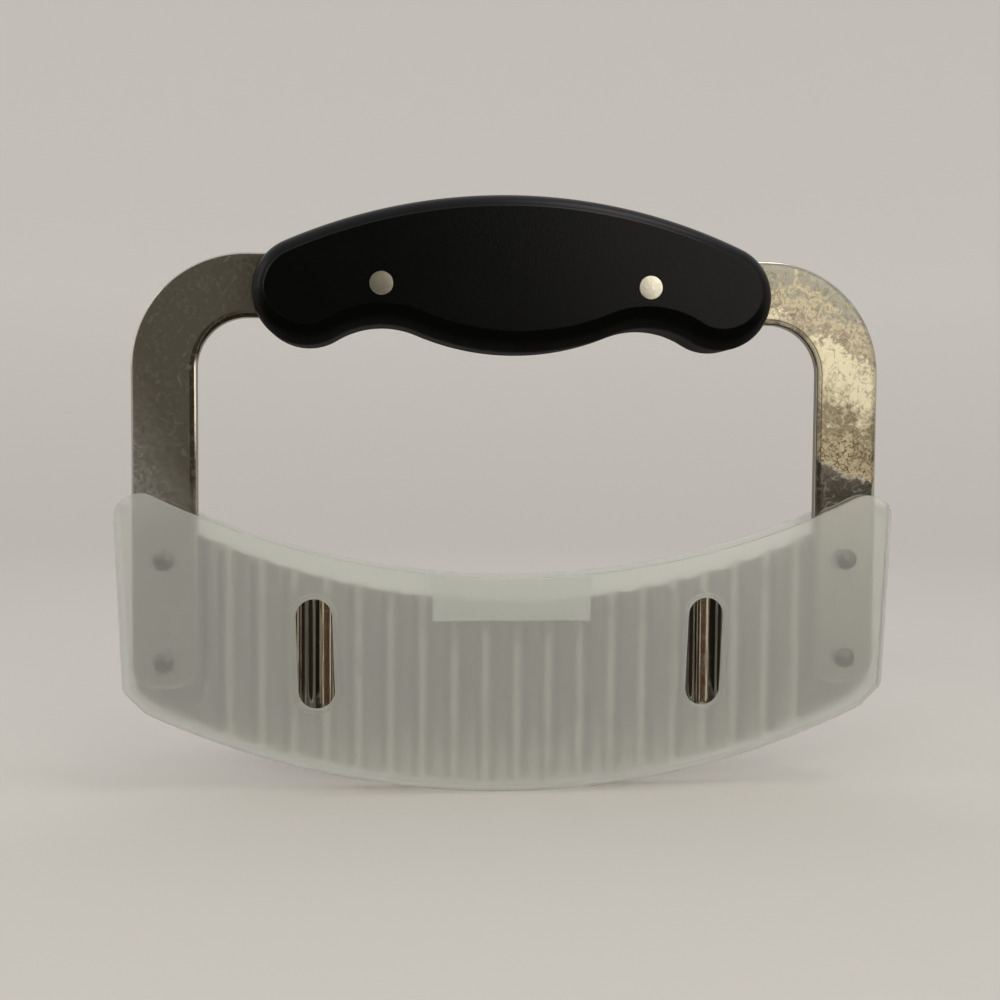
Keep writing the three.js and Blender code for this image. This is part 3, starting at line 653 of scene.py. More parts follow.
def wall_cut(outline, faces, fillet):
    """A cutter that opens by a fillet at each face of the walls, given in pairs from front to rear."""
    wide = inset(outline, -fillet)
    rings = [ring(wide, faces[0] - OVERRUN)]
    for front, rear in zip(faces[::2], faces[1::2]):
        rings += rounding(outline, -fillet, front, fillet)
        rings += rounding(outline, -fillet, rear, -fillet)[::-1]
    rings.append(ring(wide, faces[-1] + OVERRUN))
    return solid("cutter", rings)


def rod(x, z, radius, front, rear):
    """A round cutter along Y."""
    outline = arc(Vector((x, z)), radius, 0, math.tau, TURN_STEPS)
    return solid("cutter", [ring(outline, front), ring(outline, rear)])


def bar_outline(bar, grow=0.0):
    """The C of the bar, grown outwards for the channel that takes it."""
    quarter = math.pi / 2
    outer, inner = bar.span / 2 + grow, bar.span / 2 - bar.width - grow
    foot = BAR_LOW.z - grow + bar.end
    bend = Vector((bar.span / 2 - bar.bend, BAR_HIGH.z - bar.bend))
    outer_end, inner_end = Vector((outer - bar.end, foot)), Vector((inner + bar.end, foot))
    outside, inside = bar.bend + grow, bar.bend - bar.width - grow
    return [
        *arc(bend, outside, 0, quarter, ARC_STEPS),
        bend + Vector((0, outside)),
        *arc(mirrored(bend), outside, quarter, 2 * quarter, ARC_STEPS),
        mirrored(bend) - Vector((outside, 0)),
        *arc(mirrored(outer_end), bar.end, 2 * quarter, 3 * quarter, ARC_STEPS),
        *arc(mirrored(inner_end), bar.end, 3 * quarter, 4 * quarter, ARC_STEPS),
        mirrored(inner_end) + Vector((bar.end, 0)),
        *arc(mirrored(bend), inside, 2 * quarter, quarter, ARC_STEPS),
        mirrored(bend) + Vector((0, inside)),
        *arc(bend, inside, quarter, 0, ARC_STEPS),
        bend + Vector((inside, 0)),
        *arc(inner_end, bar.end, 2 * quarter, 3 * quarter, ARC_STEPS),
        *arc(outer_end, bar.end, 3 * quarter, 4 * quarter, ARC_STEPS),
        outer_end + Vector((bar.end, 0)),
    ]


class CRINKLE_OT_bar(Operator):
    """Makes the C-shaped bar"""

    bl_idname = "crinkle.make_bar"
    bl_label = "Bar"

    def execute(self, context):
        bar = context.scene.crinkle.bar
        half = bar.thickness / 2
        made = plate("steel_bar", bar_outline(bar), -half, half, bar.roll_width, bar.roll_depth)
        dress(smooth(made, bar_steel(bar)), "cutter", "bar_steel", "frame")
        return {"FINISHED"}


def tang_height(bar):
    """The middle of the tang."""
    return BAR_HIGH.z - bar.width / 2


def handle_outline(handle, tang):
    """Crown, end lobes, finger grooves and belly, each tangent to the next."""
    crown = Vector((0, tang + handle.above - handle.crown))
    belly = Vector((0, tang - handle.below + handle.belly))
    lobe_x = handle.length / 2 - handle.end
    lobe = Vector((lobe_x, crown.y + math.sqrt((handle.crown - handle.end) ** 2 - lobe_x**2)))
    groove = right_crossing(belly, handle.belly + handle.groove, lobe, handle.end + handle.groove)
    lobe_top = 2 * lobe - crown
    lobe_left, groove_left, lobe_top_left = mirrored(lobe), mirrored(groove), mirrored(lobe_top)
    return [
        *arc_between(belly, handle.belly, groove_left, groove, 2 * ARC_STEPS),
        *arc_between(groove, handle.groove, belly, lobe, ARC_STEPS, clockwise=True),
        *arc_between(lobe, handle.end, groove, lobe_top, 2 * ARC_STEPS),
        *arc_between(crown, handle.crown, lobe, lobe_left, 3 * ARC_STEPS),
        *arc_between(lobe_left, handle.end, lobe_top_left, groove_left, 2 * ARC_STEPS),
        *arc_between(groove_left, handle.groove, lobe_left, belly, ARC_STEPS, clockwise=True),
    ]


class CRINKLE_OT_handle(Operator):
    """Makes the two scales of the handle"""

    bl_idname = "crinkle.make_handle"
    bl_label = "Handle"

    RIM_STEPS = 14
    PANEL_STEP = 0.22 * MM  # the panel stands this much above the rim's end
    PANEL_BEVEL = 0.22 * MM
    RIM_PLANED = 0.37 * MM  # planed off the rim's rounding by the panel
    SEAT = 1.4 * MM  # depth of the rivets' counterbores
    SEAT_GAP = 0.15 * MM

    def execute(self, context):
        settings = context.scene.crinkle
        handle, bar, rivets = settings.handle, settings.bar, settings.rivets
        tang = tang_height(bar)
        outline = handle_outline(handle, tang)
        material = black_moulding(handle)
        for name, side in (("front", -1), ("rear", 1)):
            made = solid(f"handle_scale_{name}", self.rings(handle, outline, side))
            reach = bar.thickness / 2 + FIT
            channel = [ring(bar_outline(bar, FIT), -reach), ring(bar_outline(bar, FIT), reach)]
            carve(made, solid("cutter", channel))
            for x in (-rivets.handle_spacing / 2, rivets.handle_spacing / 2):
                depths = sorted((side * (handle.half - self.SEAT), side * (handle.half + OVERRUN)))
                carve(made, rod(x, tang, rivets.handle_head + self.SEAT_GAP, *depths))
            dress(smooth(made, material), "cutter", "handle_plastic", f"handle_{name}")
        return {"FINISHED"}

    def rings(self, handle, outline, side):
        """From the parting face over the elliptic rim to the panel."""
        shoulder = handle.half + self.RIM_PLANED - handle.rim_depth
        last = math.asin((handle.half - self.PANEL_STEP - shoulder) / handle.rim_depth)
        widths = self.rim_widths(handle, outline)
        rings = [ring(outline, side * FIT / 2)]
        for i in range(self.RIM_STEPS + 1):
            angle = last * i / self.RIM_STEPS
            edge = inset(outline, 1 - math.cos(angle), widths)
            rings.append(ring(edge, side * (shoulder + handle.rim_depth * math.sin(angle))))
        rings.append(ring(inset(edge, self.PANEL_BEVEL), side * handle.half))
        return rings

    def rim_widths(self, handle, outline):
        """The rim's width at each point: it grows where the outline faces down, under the fingers."""
        runs = [(after - before).normalized().x for before, _, after in neighbours(outline)]
        growth = handle.finger_rim - handle.rim_width
        return [handle.rim_width + growth * max(run, 0.0) for run in runs]


def group_tree(name, numbers, counts=()):
    """A geometry tree with a mesh and a material in, a mesh out, and named numbers and whole counts."""
    tree = bpy.data.node_groups.new(name, "GeometryNodeTree")
    kinds = {
        "Geometry": "Geometry",
        "Material": "Material",
        **dict.fromkeys(numbers, "Float"),
        **dict.fromkeys(counts, "Int"),
    }
    for label, kind in kinds.items():
        tree.interface.new_socket(label, in_out="INPUT", socket_type=f"NodeSocket{kind}")
    tree.interface.new_socket("Geometry", in_out="OUTPUT", socket_type="NodeSocketGeometry")
    return tree, add(tree, "NodeGroupInput").outputs


def finish_tree(tree, geometry, material):
    """Ends a geometry tree in a plain mesh with its material."""
    plain = add(tree, "GeometryNodeRealizeInstances", {"Geometry": geometry})
    painted = add(tree, "GeometryNodeSetMaterial", {"Geometry": plain, "Material": material})
    add(tree, "NodeGroupOutput", {"Geometry": painted})
    return tree


def run_tree(made, tree, values):
    """Runs a geometry tree on an object with its inputs set, and keeps the result as a plain mesh."""
    modifier = made.modifiers.new(tree.name, "NODES")
    modifier.node_group = tree
    for item in tree.interface.items_tree:
        if item.in_out == "INPUT" and item.name in values:
            modifier[item.identifier] = values[item.name]
    made.update_tag()
    keep_result(made)


def corrugation_tree():
    """Presses a flat blank into waves, gives it its thickness and grinds the front of the crests."""
    tree, given = group_tree(
        "Corrugated blade",
        ("Pitch", "Waves", "Swing", "Thickness", "Edge Centre", "Grind Start", "Grind Slope", "Crest"),
    )
    place = add(tree, SPLIT, (add(tree, "GeometryNodeInputPosition"),)).outputs
    pitches = add(tree, MATH, (place["X"], given["Pitch"]), operation="DIVIDE")
    turns = add(tree, MATH, (given["Waves"], 0.5, pitches), operation="MULTIPLY_ADD")
    inside = add(tree, "ShaderNodeClamp", {"Value": turns, "Min": 0.0, "Max": given["Waves"]})
    phase = add(tree, MATH, (inside, math.tau), operation="MULTIPLY")
    wave = add(tree, MATH, (phase,), operation="SINE")
    swing = add(tree, MATH, (wave, given["Swing"]), operation="MULTIPLY")
    forward = add(tree, MATH, (swing, -1.0), operation="MULTIPLY")
    shift = add(tree, "ShaderNodeCombineXYZ", {"Y": forward})
    pressed = add(tree, "GeometryNodeSetPosition", {"Geometry": given["Geometry"], "Offset": shift})
    # The sheet is the middle of the metal: it moves back by half its thickness and is then drawn forward.
    half_back = add(tree, MATH, (given["Thickness"], -0.5), operation="MULTIPLY")
    normal = add(tree, "GeometryNodeInputNormal")
    behind = add(tree, "ShaderNodeVectorMath", {"Vector": normal, "Scale": half_back}, operation="SCALE")
    back = add(tree, "GeometryNodeSetPosition", {"Geometry": pressed, "Offset": behind})
    drawn = {"Mesh": back, "Offset Scale": given["Thickness"], "Individual": False}
    front = add(tree, "GeometryNodeExtrudeMesh", drawn).outputs
    # The wheel grinds a cone about the middle of the cutting edge's arc.
    drop = add(tree, MATH, (place["Z"], given["Edge Centre"]), operation="SUBTRACT")
    spoke = add(tree, "ShaderNodeCombineXYZ", {"X": place["X"], "Z": drop})
    radius = add(tree, "ShaderNodeVectorMath", (spoke,), operation="LENGTH")
    below = add(tree, MATH, (radius, given["Grind Start"]), operation="SUBTRACT")
    wheel = add(tree, MATH, (below, given["Grind Slope"], given["Crest"]), operation="MULTIPLY_ADD")
    ground_y = add(tree, MATH, (place["Y"], wheel), operation="MAXIMUM")
    spot = add(tree, "ShaderNodeCombineXYZ", {"X": place["X"], "Y": ground_y, "Z": place["Z"]})
    grinding = {"Geometry": front["Mesh"], "Selection": front["Top"], "Position": spot}
    ground = add(tree, "GeometryNodeSetPosition", grinding)
    turned = add(tree, "GeometryNodeFlipFaces", {"Mesh": back})
    joined = add(tree, "GeometryNodeJoinGeometry", {"Geometry": turned})
    tree.links.new(ground.outputs[0], joined.inputs[0])
    welded = add(tree, "GeometryNodeMergeByDistance", {"Geometry": joined, "Distance": WELD})
    return finish_tree(tree, welded, given["Material"])


def tab_corner(blade):
    """Height at which the lower corners of the blade's tabs are cut."""
    centre = BLADE_LOW.z + blade.edge_radius
    return centre - math.sqrt(blade.edge_radius**2 - BLADE_HIGH.x**2) + blade.corner_cut


class CRINKLE_OT_blade(Operator):
    """Stamps the blade's blank, then presses and grinds it with geometry nodes"""

    bl_idname = "crinkle.make_blade"
    bl_label = "Blade"

    ROW_CROWDING = 1.7  # rows crowd towards the cutting edge

    def execute(self, context):
        blade = context.scene.crinkle.blade
        made = place_object("corrugated_blade", self.blank(blade))
        run_tree(
            made,
            corrugation_tree(),
            {
                "Pitch": blade.pitch,
                "Waves": float(blade.waves),
                "Swing": (blade.depth - blade.thickness) / 2,
                "Thickness": blade.thickness,
                "Edge Centre": BLADE_LOW.z + blade.edge_radius,
                "Grind Start": blade.edge_radius - blade.grind,
                "Grind Slope": (blade.thickness - blade.land) / blade.grind,
                "Crest": BLADE_LOW.y,
                "Material": blade_steel(blade, context.scene.crinkle.guard),
            },
        )
        shade(made.data)
        dress(made, "cutter", "blade_steel", "blade")
        return {"FINISHED"}

    def blank(self, blade):
        """The flat sheet, stamped to its smile, with columns that follow the waves."""
        reach, pressed = BLADE_HIGH.x, blade.waves * blade.pitch / 2
        turns = [math.pi / 2 * i / TAB_STEPS for i in range(TAB_STEPS)]
        tab = [reach - (reach - pressed) * (1 - math.cos(turn)) for turn in turns]
        count = blade.waves * WAVE_STEPS
        middle = [pressed * (2 * i / count - 1) for i in range(count + 1)]
        columns = [-x for x in tab] + middle + tab[::-1]
        y = (BLADE_LOW.y + BLADE_HIGH.y) / 2
        shares = [(j / BLADE_ROWS) ** self.ROW_CROWDING for j in range(BLADE_ROWS + 1)]
        sheet = bmesh.new()
        grid = []
        for x in columns:
            foot, top = self.foot(blade, x), self.top(blade, x)
            grid.append([sheet.verts.new((x, y, foot + (top - foot) * share)) for share in shares])
        for left, right in zip(grid, grid[1:]):
            for j in range(BLADE_ROWS):
                sheet.faces.new((left[j], right[j], right[j + 1], left[j + 1]))
        return mesh_from("corrugated_blade", sheet)

    def foot(self, blade, x):
        """Height of the cutting edge, or of the corner cut."""
        edge = BLADE_LOW.z + blade.edge_radius - math.sqrt(blade.edge_radius**2 - x**2)
        return max(edge, abs(x) - BLADE_HIGH.x + tab_corner(blade))

    def top(self, blade, x):
        """Height of the hollow top edge, or of a tab's rounded corner."""
        centre = BLADE_LOW.z + blade.height + blade.top_radius
        corner_x = BLADE_HIGH.x - blade.corner_radius
        corner = centre - math.sqrt((blade.top_radius + blade.corner_radius) ** 2 - corner_x**2)
        tangent = corner_x * blade.top_radius / (blade.top_radius + blade.corner_radius)
        if abs(x) < tangent:
            return centre - math.sqrt(blade.top_radius**2 - x**2)
        return corner + math.sqrt(max(blade.corner_radius**2 - (abs(x) - corner_x) ** 2, 0.0))


def rivet_tree():
    """Turns a drawn half section about Y and sets the rivet at each corner of an upright rectangle."""
    tree, given = group_tree(
        "Turned rivets", ("Width", "Height", "Middle Height"), ("Turn Steps", "Columns", "Rows")
    )
    section = add(tree, "GeometryNodeMeshToCurve", {"Mesh": given["Geometry"]})
    circle = {"Resolution": given["Turn Steps"], "Radius": SPINDLE}
    spindle = add(tree, "GeometryNodeCurvePrimitiveCircle", circle)
    turned = add(tree, "GeometryNodeCurveToMesh", {"Curve": spindle, "Profile Curve": section})
    closed = add(tree, "GeometryNodeMergeByDistance", {"Geometry": turned, "Distance": 2 * WELD})
    corners = {
        "Size X": given["Width"],
        "Size Y": given["Height"],
        "Vertices X": given["Columns"],
        "Vertices Y": given["Rows"],
    }
    laid = add(tree, "GeometryNodeMeshGrid", corners)
    lift = add(tree, "ShaderNodeCombineXYZ", {"Z": given["Middle Height"]})
    upright = Euler((math.pi / 2, 0, 0))
    stood = {"Geometry": laid, "Translation": lift, "Rotation": upright}
    set_out = {"Points": add(tree, "GeometryNodeTransform", stood), "Instance": closed, "Rotation": upright}
    placed = add(tree, "GeometryNodeInstanceOnPoints", set_out)
    return finish_tree(tree, placed, given["Material"])


def section_mesh(name, points):
    """A half section drawn as a line of radius and depth, for turning."""
    mesh = bpy.data.meshes.new(name)
    edges = [(i, i + 1) for i in range(len(points) - 1)]
    mesh.from_pydata([(radius, -depth, 0.0) for radius, depth in points], edges, [])
    return mesh


def turned_rivets(name, points, values):
    """Rivets turned from a half section and set in their places."""
    made = place_object(name, section_mesh(name, points))
    run_tree(made, rivet_tree(), {"Turn Steps": TURN_STEPS, **values})
    shell = bmesh.new()
    shell.from_mesh(made.data)
    bmesh.ops.recalc_face_normals(shell, faces=shell.faces)
    shell.to_mesh(made.data)
    shell.free()
    shade(made.data)
    return made


class CRINKLE_OT_rivets(Operator):
    """Turns the blade's four rivets and the handle's two"""

    bl_idname = "crinkle.make_rivets"
    bl_label = "Rivets"

    SHANK = 1.5 * MM
    HEAD = 0.9 * MM
    TAIL = 0.8 * MM
    TAIL_RADIUS = 2.5 * MM
    SLEEVE = 2.1 * MM
    FLUSH_HEAD = 1.2 * MM
    CROWN = 0.07 * MM  # swell of a flush head
    PUNCH = 0.55 * MM  # radius of the punched centre
    PUNCH_FLOOR = 0.33 * MM  # radius of its flat floor
    PUNCH_DEPTH = 0.16 * MM
    DOME_STEPS = 10

    def execute(self, context):
        settings = context.scene.crinkle
        rivets, bar = settings.rivets, settings.bar
        blade_rivets = turned_rivets(
            "blade_rivets",
            self.domed(rivets, bar),
            {
                "Width": bar.span - bar.width,
                "Height": rivets.blade_spacing,
                "Columns": 2,
                "Rows": 2,
                "Middle Height": rivets.blade_rise + rivets.blade_spacing / 2,
                "Material": peened_rivet("Stainless rivet, peened and tumbled", rivets.steel),
            },
        )
        sides = ("left", "right")
        corners = [f"blade_rivet_{side}_{level}" for side in sides for level in ("upper", "lower")]
        dress(blade_rivets, "cutter", "rivet_metal", *corners)
        handle_rivets = turned_rivets(
            "handle_rivets",
            self.flush(rivets, settings.handle),
            {
                "Width": rivets.handle_spacing,
                "Height": 0.0,
                "Columns": 2,
                "Rows": 1,
                "Middle Height": tang_height(bar),
                "Material": peened_rivet("Nickel-plated rivet, peened and ground flush", rivets.nickel),
            },
        )
        halves = [f"handle_rivet_{side}_{half}" for side in sides for half in ("post", "sleeve")]
        dress(handle_rivets, "cutter", "rivet_metal", *halves)
        return {"FINISHED"}

    def dome(self, radius, seat, height):
        """A low dome from its top to its rim, in radius and depth."""
        sphere = (radius**2 + height**2) / (2 * abs(height))
        opening = math.asin(radius / sphere)
        angles = [opening * i / self.DOME_STEPS for i in range(self.DOME_STEPS + 1)]
        rise = math.copysign(1, height)
        return [(sphere * math.sin(a), seat - height + rise * sphere * (1 - math.cos(a))) for a in angles]

    def domed(self, rivets, bar):
        """Half section of a domed head, a shank and an upset tail. Turned, it lies with its head behind."""
        seat = -bar.thickness / 2
        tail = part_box("blade_rivet_left_upper")[1].y
        upset = self.dome(self.TAIL_RADIUS, tail - self.TAIL, -self.TAIL)
        return [
            *self.dome(rivets.blade_head, seat - FIT, self.HEAD),
            (rivets.blade_head, seat),
            (self.SHANK, seat),
            (self.SHANK, tail - self.TAIL - FIT),
            (self.TAIL_RADIUS, tail - self.TAIL - FIT),
            *reversed(upset),
        ]

    def flush(self, rivets, handle):
        """Half section with two flush heads, a little swollen. Turned, its punched centre lies behind."""
        radius, seat = rivets.handle_head, handle.half - self.CROWN
        neck = handle.half - self.FLUSH_HEAD
        front = self.dome(radius, -seat, self.CROWN)
        floor = self.PUNCH_DEPTH - handle.half
        return [
            (0.0, floor),
            (self.PUNCH_FLOOR, floor),
            *[point for point in front if point[0] > self.PUNCH],
            (radius, -neck),
            (self.SLEEVE, -neck),
            (self.SLEEVE, neck),
            (radius, neck),
            *reversed(self.dome(radius, seat, -self.CROWN)),
        ]


def rim_outline(guard, half):
    """Everything above the guard's hollow rim."""
    centre = Vector((0, guard.rim + guard.rim_radius))
    corner_x = half - guard.rim_corner
    reach = guard.rim_radius + guard.rim_corner
    corner = Vector((corner_x, centre.y - math.sqrt(reach**2 - corner_x**2)))
    side = Vector((half, corner.y))
    top = centre.y
    return [
        Vector((-half - OVERRUN, top)),
        Vector((-half - OVERRUN, corner.y)),
        *arc_between(mirrored(corner), guard.rim_corner, mirrored(side), centre, ARC_STEPS, clockwise=True),
        *arc_between(centre, guard.rim_radius, mirrored(corner), corner, SWEEP_STEPS),
        *arc_between(corner, guard.rim_corner, centre, side, ARC_STEPS, clockwise=True),
        side,
        Vector((half + OVERRUN, corner.y)),
        Vector((half + OVERRUN, top)),
    ]


def window_outline(guard, side):
    """An upright slot with round ends, its foot leaning towards the middle."""
    radius = guard.window_width / 2
    lean = -side * guard.window_tilt
    middle = Vector((side * guard.window_spacing / 2, guard.window_height))
    reach = (guard.window_length / 2 - radius) * Vector((-math.sin(lean), math.cos(lean)))
    return [
        *arc(middle + reach, radius, lean, lean + math.pi, ARC_STEPS),
        middle + reach - radius * Vector((math.cos(lean), math.sin(lean))),
        *arc(middle - reach, radius, lean + math.pi, lean + math.tau, ARC_STEPS),
        middle - reach + radius * Vector((math.cos(lean), math.sin(lean))),
    ]


def pocket_outline(guard, blade, half, growth):
    """A tall pocket that follows the blade's foot, before the rim is cut."""
    centre = Vector((0, BLADE_LOW.z + blade.edge_radius))
    radius = blade.edge_radius + growth
    cut = BLADE_HIGH.x - tab_corner(blade) + growth * math.sqrt(2)
    foot_x = (cut + centre.y - math.sqrt(2 * radius**2 - (cut + centre.y) ** 2)) / 2
    foot = Vector((foot_x, foot_x - cut))
    top = guard.rim + blade.height
    leaning = half + guard.flare * top / guard.rim
    return [
        Vector((-half, half - cut)),
        *arc_between(centre, radius, mirrored(foot), foot, SWEEP_STEPS),
        foot,
        Vector((half, half - cut)),
        Vector((leaning, top)),
        Vector((-leaning, top)),
    ]


class CRINKLE_OT_guard(Operator):
    """Moulds the guard: a hollow pocket with a hollow rim, two lipped windows and a pad"""

    bl_idname = "crinkle.make_guard"
    bl_label = "Guard"

    CAVITY_EDGE = 0.6 * MM
    CORNER = 3 * MM  # softening of the foot's corners
    FILLET = 0.3 * MM  # along the rim and round the windows
    LIP_EDGE = 0.5 * MM  # how far in the lips are rounded
    EDGE_GAP = 0.3 * MM  # cutting edge above the cavity's floor
    PAD_GAP = 0.3 * MM  # front crests to the pad
    PAD_SEAM = 0.03 * MM  # pad to the front wall
    PAD_EDGE = 0.5 * MM
    WALL_CLEARNESS = 0.81  # share of the light that is let through
    PAD_CLEARNESS = 0.6

    def execute(self, context):
        settings = context.scene.crinkle
        guard, blade = settings.guard, settings.blade
        lips = [GUARD_LOW.y, GUARD_HIGH.y]
        front, rear = lips[0] + guard.lip_rise, lips[1] - guard.lip_rise
        faces = [front, front + guard.wall, rear - guard.wall, rear]
        windows = [window_outline(guard, side) for side in (-1, 1)]
        half = GUARD_HIGH.x - guard.flare
        body = soften(pocket_outline(guard, blade, half, self.EDGE_GAP + guard.floor), self.CORNER)
        hollow = soften(pocket_outline(guard, blade, half - guard.end_wall, self.EDGE_GAP), self.CORNER)
        made = plate("guard_shell", body, front, rear, guard.edge, guard.edge)
        for window in windows:
            border = inset(window, -guard.lip_width)
            carve(made, plate("lip", border, *lips, self.LIP_EDGE, guard.lip_rise), "UNION")
        carve(made, plate("cutter", hollow, faces[1], faces[2], self.CAVITY_EDGE, self.CAVITY_EDGE))
        carve(made, wall_cut(rim_outline(guard, GUARD_HIGH.x), faces, self.FILLET))
        for window in windows:
            carve(made, wall_cut(window, [lips[0], *faces[1:3], lips[1]], self.FILLET))
        material = frosted_moulding(guard, "Natural polypropylene, frosted wall", self.WALL_CLEARNESS)
        dress(smooth(made, material), "guard", "guard_plastic", "blade_guard")
        made.visible_shadow = False  # the thin wall lets the light through to the blade
        pad = self.pad(guard, faces[1] + self.PAD_SEAM)
        thick = frosted_moulding(guard, "Natural polypropylene, thick pad", self.PAD_CLEARNESS)
        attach(smooth(pad, thick), "guard")
        return {"FINISHED"}

    def pad(self, guard, front):
        """The pad that bears on the front crests below the rim."""
        side = guard.pad_width / 2
        centre = Vector((0, guard.rim + guard.rim_radius))
        radius = guard.rim_radius + self.FILLET
        level = centre.y - math.sqrt(radius**2 - side**2)
        foot = guard.rim - guard.pad_height
        end = Vector((side, level))
        outline = [
            Vector((-side, foot)),
            Vector((side, foot)),
            *arc_between(centre, radius, end, mirrored(end), ARC_STEPS, clockwise=True),
            mirrored(end),
        ]
        return plate("guard_pad", outline, front, BLADE_LOW.y - self.PAD_GAP, self.PAD_EDGE, self.PAD_EDGE)


class CRINKLE_OT_stage(Operator):
    """Sets the cove, the lights and the camera"""

    bl_idname = "crinkle.make_stage"
    bl_label = "Stage"

    # Sizes and places of the stage are in metres
    COVE_FLAT = 0.7  # radius of the level floor
    COVE_BEND = 1.0  # radius of its bend
    COVE_SLOPE = math.radians(55)
    COVE_REACH = 2.0
    COVE_GRADING = 0.25  # height over which the floor's tone turns to the wall's
    COVE_STEPS = 96
    BEND_STEPS = 16
    COVE_WELD = 0.01 * MM  # joins the spun floor's first and last edges
    SENSOR = 36.0  # width in millimetres
    SKY = 0.76  # strength of the even light above the cove
    SKY_COLOUR = "#FDFDFF"
    MIDDLE = Vector((-2.73, 0.0, 67.13)) * MM  # what the camera and the lamps are aimed at
    # Name, place, width and height, power and colour of each lamp, the key first
    LAMPS = (
        ("Key softbox", (-0.9, -1.9, 0.75), (1.25, 1.25), 34.0, "#FFFBF7"),
        ("Top softbox", (0.4, -0.2, 1.3), (0.45, 0.4), 2.2, "#FFFCF8"),
        ("Left strip", (-0.78, -0.1, 0.4), (0.2, 0.5), 0.6, "#FFFCF8"),
        ("Right panel", (0.26, -0.58, 0.27), (0.36, 0.4), 0.9, "#FFF9EC"),
    )
    # Name, place, width and height, the way to its back, and tone of each card that the steel mirrors
    CARDS = (
        ("left_flag", (-0.465, -0.66, 0.46), (0.68, 0.9), (0, -1, 0), "#635F55"),
        ("middle_flag", (0.34, -0.66, 0.46), (0.93, 0.9), (0, -1, 0), "#3E392F"),
        ("lying_flag", (0.0, -0.355, 0.002), (1.2, 0.65), (0, 0, -1), "#2E2820"),
    )

    def execute(self, context):
        stage = context.scene.crinkle.stage
        self.cove(stage)
        lamps = [self.light(*values) for values in self.LAMPS]
        lamps[0].visible_glossy = False  # so that the key doesn't burn out in the steel
        for values in self.CARDS:
            self.card(*values)
        self.world(context.scene)
        self.camera(context.scene, stage)
        context.scene.view_settings.view_transform = "Standard"
        return {"FINISHED"}

    def cove(self, stage):
        """A round floor that bends up into a sloping wall on every side."""
        profile = [Vector((0.0, 0.0, 0.0))]
        for i in range(self.BEND_STEPS + 1):
            angle = self.COVE_SLOPE * i / self.BEND_STEPS
            out = self.COVE_FLAT + self.COVE_BEND * math.sin(angle)
            profile.append(Vector((out, 0.0, self.COVE_BEND * (1 - math.cos(angle)))))
        run = self.COVE_REACH - profile[-1].x
        profile.append(profile[-1] + Vector((run, 0.0, run * math.tan(self.COVE_SLOPE))))
        built = bmesh.new()
        verts = [built.verts.new(point) for point in profile]
        edges = [built.edges.new(pair) for pair in zip(verts, verts[1:])]
        about_z = {"cent": (0, 0, 0), "axis": (0, 0, 1), "angle": math.tau}
        bmesh.ops.spin(built, geom=verts + edges, steps=self.COVE_STEPS, **about_z)
        bmesh.ops.remove_doubles(built, verts=built.verts, dist=self.COVE_WELD)
        bmesh.ops.recalc_face_normals(built, faces=built.faces)
        bmesh.ops.reverse_faces(built, faces=built.faces)
        mesh = mesh_from("cove", built)
        mesh.shade_smooth()
        mesh.materials.append(self.paint(stage))
        return place_object("cove", mesh)

    def paint(self, stage):
        """Matt wall paint with a faint roller grain of about 0.9 mm, paler up the slope as painted light.
        """
        material, tree, coordinates = new_material("Cove, matt painted")
        spot = coordinates["Object"]
        grain = add(tree, NOISE, {"Vector": spot, "Scale": 1 / (0.9 * MM), "Detail": 2.0})
        bump = add(tree, BUMP, {"Strength": 0.05, "Distance": 0.1 * MM, "Height": grain})
        height = add(tree, SPLIT, (spot,)).outputs["Z"]
        # Painted light: the tone turns paler up the slope.
        up = add(tree, RANGE, (height, 0.0, self.COVE_GRADING))
        tone = add(tree, MIX, (up, opaque(stage.paper), opaque(stage.wall)), data_type="RGBA")
        look = {"Base Color": tone, "Roughness": 0.9, "Specular IOR Level": 0.2, "Normal": bump}
        return finish_material(material, add(tree, PRINCIPLED, look))

    def aimed(self, made, place, away):
        """Puts a lamp or a card at a place, facing back along a direction."""
        made.location = place
        made.rotation_euler = away.to_track_quat("Z", "Y").to_euler()

    def light(self, name, place, size, power, hex_colour):
        """A softbox that the camera doesn't see."""
        lamp = bpy.data.lights.new(name, "AREA")
        lamp.shape = "RECTANGLE"
        lamp.size, lamp.size_y = size
        lamp.energy = power
        lamp.color = linear(hex_colour)
        made = bpy.data.objects.new(name, lamp)
        bpy.context.scene.collection.objects.link(made)
        made.visible_camera = False
        self.aimed(made, place, Vector(place) - self.MIDDLE)
        return made

    def card(self, name, place, size, away, hex_colour):
        """A card that only shows in polished surfaces, facing back along a direction."""
        x, y = size[0] / 2, size[1] / 2
        mesh = bpy.data.meshes.new(name)
        mesh.from_pydata([(-x, -y, 0), (x, -y, 0), (x, y, 0), (-x, y, 0)], [], [(0, 1, 2, 3)])
        material, tree, _ = new_material(name)
        glow = add(tree, "ShaderNodeEmission", {"Color": opaque(linear(hex_colour))})
        mesh.materials.append(finish_material(material, glow))
        made = place_object(name, mesh)
        for rays in ("camera", "diffuse", "volume_scatter", "shadow"):
            setattr(made, f"visible_{rays}", False)
        self.aimed(made, place, Vector(away))

    def world(self, scene):
        """Even light from above the cove."""
        world = bpy.data.worlds.new("Studio sky")
        world.use_nodes = True
        tree = world.node_tree
        tree.nodes.clear()
        shining = {"Color": opaque(linear(self.SKY_COLOUR)), "Strength": self.SKY}
        sky = add(tree, "ShaderNodeBackground", shining)
        add(tree, "ShaderNodeOutputWorld", {"Surface": sky})
        scene.world = world

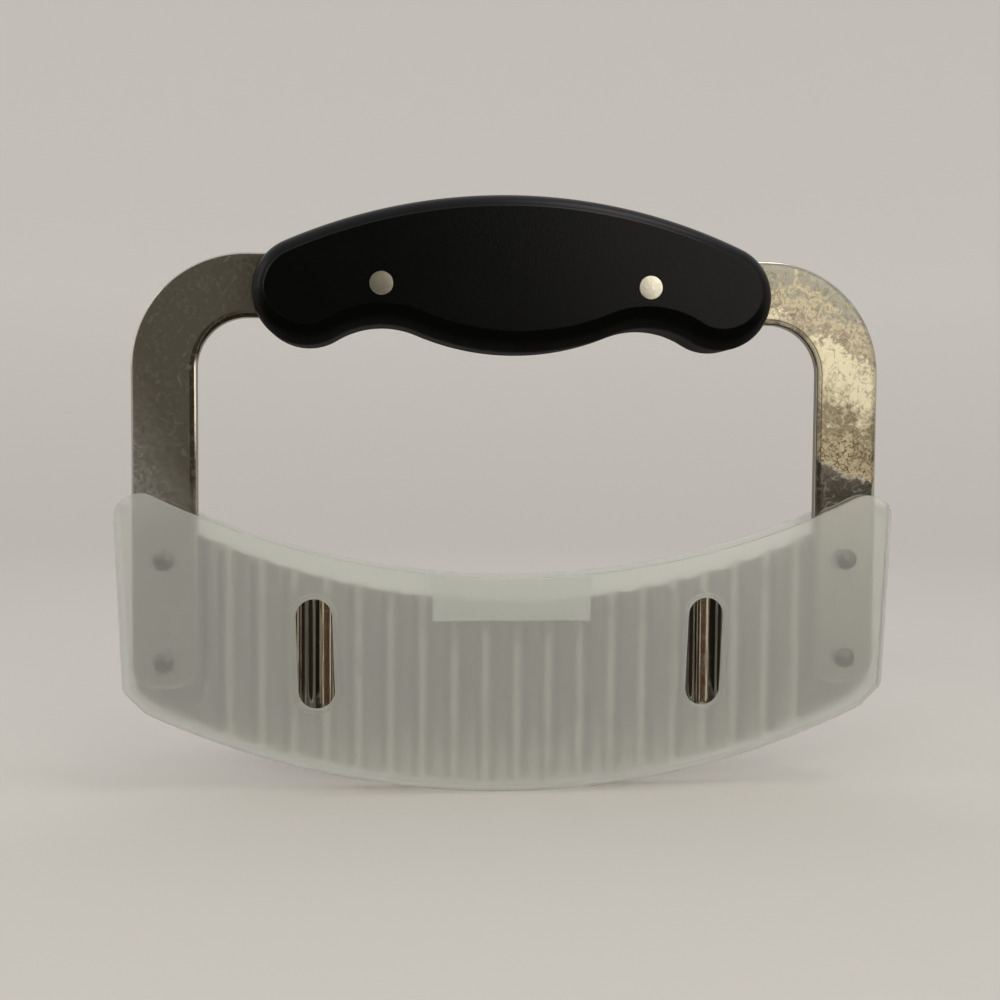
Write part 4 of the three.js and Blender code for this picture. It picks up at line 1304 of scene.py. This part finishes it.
    def camera(self, scene, stage):
        """The photograph's viewpoint."""
        lens = bpy.data.cameras.new("Camera")
        lens.lens = stage.lens
        lens.sensor_width = self.SENSOR
        level = math.cos(stage.elevation)
        sideways, forward = math.sin(stage.azimuth) * level, -math.cos(stage.azimuth) * level
        back = Vector((sideways, forward, math.sin(stage.elevation)))
        turn = (-back).to_track_quat("-Z", "Y").to_matrix() @ Matrix.Rotation(stage.roll, 3, "Z")
        made = bpy.data.objects.new("Camera", lens)
        made.matrix_world = Matrix.Translation(self.MIDDLE + back * stage.distance) @ turn.to_4x4()
        scene.collection.objects.link(made)
        scene.camera = made


OPERATORS = (
    CRINKLE_OT_bar,
    CRINKLE_OT_handle,
    CRINKLE_OT_blade,
    CRINKLE_OT_rivets,
    CRINKLE_OT_guard,
    CRINKLE_OT_stage,
)


class CRINKLE_PT_panel(Panel):
    """Sizes, colours and steps of the crinkle cutter"""

    bl_idname = "CRINKLE_PT_panel"
    bl_label = "Crinkle Cutter"
    bl_space_type = "VIEW_3D"
    bl_region_type = "UI"
    bl_category = "Cutter"

    def draw(self, context):
        settings = context.scene.crinkle
        for group in ("bar", "blade", "rivets", "handle", "guard", "stage"):
            box = self.layout.box()
            box.label(text=group.title())
            values = getattr(settings, group)
            for name in values.__annotations__:
                box.prop(values, name)
        for operator in OPERATORS:
            self.layout.operator(operator.bl_idname)


CLASSES = (
    BarSettings,
    BladeSettings,
    RivetSettings,
    HandleSettings,
    GuardSettings,
    StageSettings,
    CutterSettings,
    *OPERATORS,
    CRINKLE_PT_panel,
)


def register():
    """Registers the classes and gives the scene its settings."""
    for cls in CLASSES:
        bpy.utils.register_class(cls)
    bpy.types.Scene.crinkle = PointerProperty(type=CutterSettings)


def unregister():
    """Takes back what register did."""
    del bpy.types.Scene.crinkle
    for cls in reversed(CLASSES):
        bpy.utils.unregister_class(cls)


def main():
    """Makes the pieces and the stage in order."""
    register()
    bpy.ops.crinkle.make_bar()
    bpy.ops.crinkle.make_handle()
    bpy.ops.crinkle.make_blade()
    bpy.ops.crinkle.make_rivets()
    bpy.ops.crinkle.make_guard()
    bpy.ops.crinkle.make_stage()


if __name__ == "__main__":
    main()
